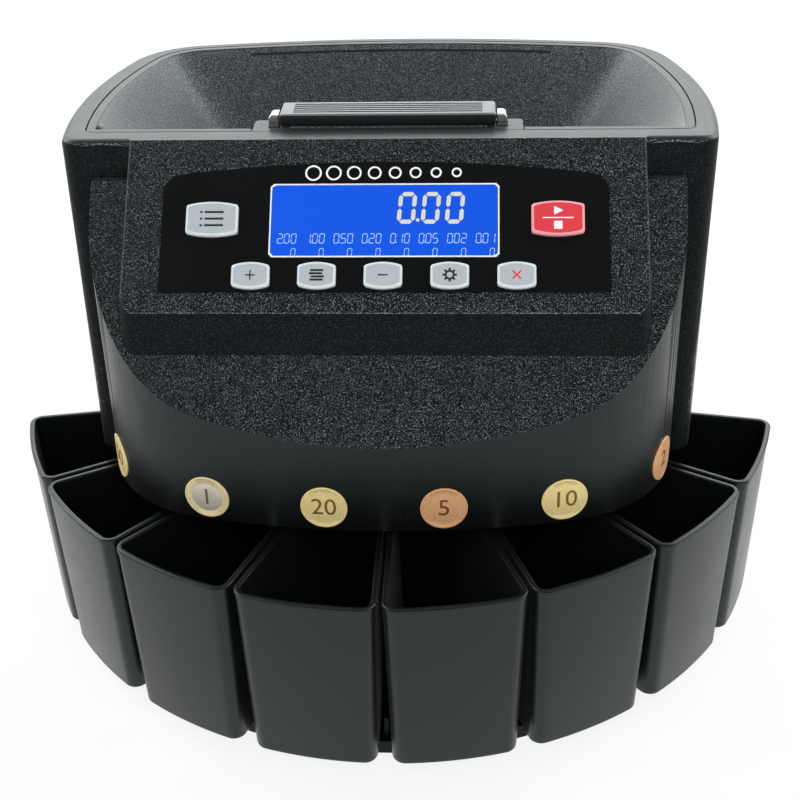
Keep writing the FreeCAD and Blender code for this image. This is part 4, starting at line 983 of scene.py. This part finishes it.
grip = softened("grip_bar", "handle_grip", grip_round, [grip_rubber, painted_sheen_grip], "handle")
# The grip's faces that look up take the painted sheen
finish_tops(grip, grip_tilt)
for side_name in ("left", "right"):
    softened("strap_" + side_name, "handle_strap_" + side_name, strap_round, [bright_steel], "handle")
    softened("guide_" + side_name, "handle_guide_" + side_name, guide_round, [rim_abs], "housing")

kept_finishes = (
    (base_abs, ("base_tray", "tray_ribs", "lower_housing")),
    (foot_rubber, ("rubber_feet",)),
    (film, ("panel_overlay",)),
    (nylon, ("display_module", "power_inlet", "switch_body", "switch_rocker")),
    (board_green, ("key_board", "main_board", "power_supply", "sensor_arc")),
    (ring_abs, ("sorting_ring", "ring_fence", "chute_ring", "chute_dividers")),
    (zinc_steel, ("deck_plate", "deck_screws", "bearing_upper", "bearing_lower", "disc_shaft")),
    (aluminium, ("feeder_disc", "bearing_hub")),
    (acetal, ("disc_gear", "motor_pinion")),
    (motor_steel, ("drive_motor",)),
    (powder_coat, ("rear_panel",)))
for finish, node_names in kept_finishes:
    for node_name in node_names:
        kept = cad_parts[node_name].data
        kept.materials.clear()
        kept.materials.append(finish)


# Stage: floor, lights, world and camera

floor_reach = 4.0
floor_lines = 9
floor_mottle = 40 * mm
floor_lift = 0.88
fill_light = 0.5
dark_direction = (0.0, -0.53, 0.85)
lamp_target = (0, 0, 0.15)
camera_yaw = math.radians(3.347)
camera_pitch = math.radians(30.21)
camera_roll = math.radians(-1.494)
camera_lens = 63.526
camera_sensor = 36.0
camera_place = Vector((37.599 * mm, axis_y - 640.187 * mm, 463.308 * mm))


def gloss_rays(tree, path):
    """One for the rays that leave gloss or pass through a clear piece."""
    return add(tree, "Math", {0: path.outputs["Is Glossy Ray"], 1: path.outputs["Is Transmission Ray"]},
               operation="MAXIMUM").outputs[0]


def floor_finish():
    """Matt pale paper sweep with a faint mottle, lifted towards white for the camera and in reflections."""
    made = blank("paper_floor")
    tree = made.node_tree
    place = add(tree, "TexCoord").outputs["Object"]
    mottle = add(tree, "TexNoise", {"Vector": place, "Scale": 1 / floor_mottle, "Detail": 2.0})
    tone = add(tree, "Mix", {"Factor": mottle.outputs[0], "A": srgb("#fbfbfb"), "B": srgb("#fefefe")},
               data_type="RGBA")
    paper = add(tree, "BsdfDiffuse", {"Color": tone.outputs["Result"]})
    glow = add(tree, "Emission", {"Color": tone.outputs["Result"], "Strength": 1.0})
    path = add(tree, "LightPath")
    seen = add(tree, "Math", {0: path.outputs["Is Camera Ray"], 1: gloss_rays(tree, path)},
               operation="MAXIMUM")
    lift = add(tree, "Math", {0: seen.outputs[0], 1: floor_lift}, operation="MULTIPLY")
    shader = add(tree, "MixShader", {0: lift.outputs[0], 1: paper.outputs[0], 2: glow.outputs[0]})
    add(tree, "OutputMaterial", {"Surface": shader.outputs[0]})
    return made


def floor():
    """Wide flat sheet on the table's level."""
    reach = np.linspace(-floor_reach, floor_reach, floor_lines)
    x, y = np.meshgrid(reach, reach)
    points = np.stack([x, y, np.zeros_like(x)], -1).reshape(-1, 3)
    mesh = from_arrays("floor_sheet", points, grid_faces(floor_lines, floor_lines, closed=False))
    mesh.materials.append(floor_finish())
    sheet = bpy.data.objects.new("floor_sheet", mesh)
    bpy.context.scene.collection.objects.link(sheet)


def softbox(name, place, target, width, height, power, mirrored=True):
    """Rectangular lamp at a place, facing a target; mirrored lets gloss show it."""
    lamp = bpy.data.lights.new(name, "AREA")
    lamp.shape = "RECTANGLE"
    lamp.size = width
    lamp.size_y = height
    lamp.energy = power
    holder = bpy.data.objects.new(name, lamp)
    holder.location = place
    holder.rotation_euler = (Vector(target) - Vector(place)).to_track_quat("-Z", "Y").to_euler()
    holder.visible_glossy = mirrored
    bpy.context.scene.collection.objects.link(holder)


def studio_world():
    """White surround for the camera and for gloss, dimmer as a light, with a dark room high up in front."""
    world = bpy.data.worlds.new("studio")
    bpy.context.scene.world = world
    world.use_nodes = True
    tree = world.node_tree
    tree.nodes.clear()
    path = add(tree, "LightPath")
    direction = add(tree, "TexCoord").outputs["Generated"]
    towards = add(tree, "VectorMath", {0: direction, 1: dark_direction}, operation="DOT_PRODUCT")
    room = add(tree, "MapRange", {"Value": towards.outputs["Value"], "From Min": 0.55, "From Max": 0.9,
                                  "To Min": 1.0, "To Max": 0.10})
    level = add(tree, "Mix", {"Factor": gloss_rays(tree, path), "A": fill_light, "B": room.outputs[0]})
    seen = add(tree, "Mix", {"Factor": path.outputs["Is Camera Ray"], "A": level.outputs["Result"],
                             "B": 1.0})
    shader = add(tree, "Background", {"Color": srgb("#ffffff"), "Strength": seen.outputs["Result"]})
    add(tree, "OutputWorld", {"Surface": shader.outputs[0]})


def camera():
    """Camera of the photograph: a little to the right, looking down, with a slight roll."""
    level = Vector((math.cos(camera_yaw), math.sin(camera_yaw), 0))
    flat = math.cos(camera_pitch)
    ahead = Vector((-math.sin(camera_yaw) * flat, math.cos(camera_yaw) * flat, -math.sin(camera_pitch)))
    above = level.cross(ahead)
    right = math.cos(camera_roll) * level + math.sin(camera_roll) * above
    up = -math.sin(camera_roll) * level + math.cos(camera_roll) * above
    lens = bpy.data.cameras.new("camera")
    lens.lens = camera_lens
    lens.sensor_width = camera_sensor
    holder = bpy.data.objects.new("camera", lens)
    turn = Matrix((right, up, -ahead)).transposed().to_4x4()
    turn.translation = camera_place
    holder.matrix_world = turn
    bpy.context.scene.collection.objects.link(holder)
    bpy.context.scene.camera = holder


floor()
for lamp_name, lamp_x in (("lamp_left", -1.4), ("lamp_right", 1.4)):
    softbox(lamp_name, place=(lamp_x, 0.7, 1.3), target=lamp_target, width=0.9, height=1.4, power=22)
softbox("lamp_behind", place=(0.0, 1.5, 1.1), target=(0, 0, 0.2), width=1.8, height=0.7, power=14)
softbox("lamp_front", place=(0.2, -1.5, 1.5), target=lamp_target, width=1.6, height=1.2, power=22,
        mirrored=False)
studio_world()
camera()
bpy.context.scene.view_settings.view_transform = "Standard"
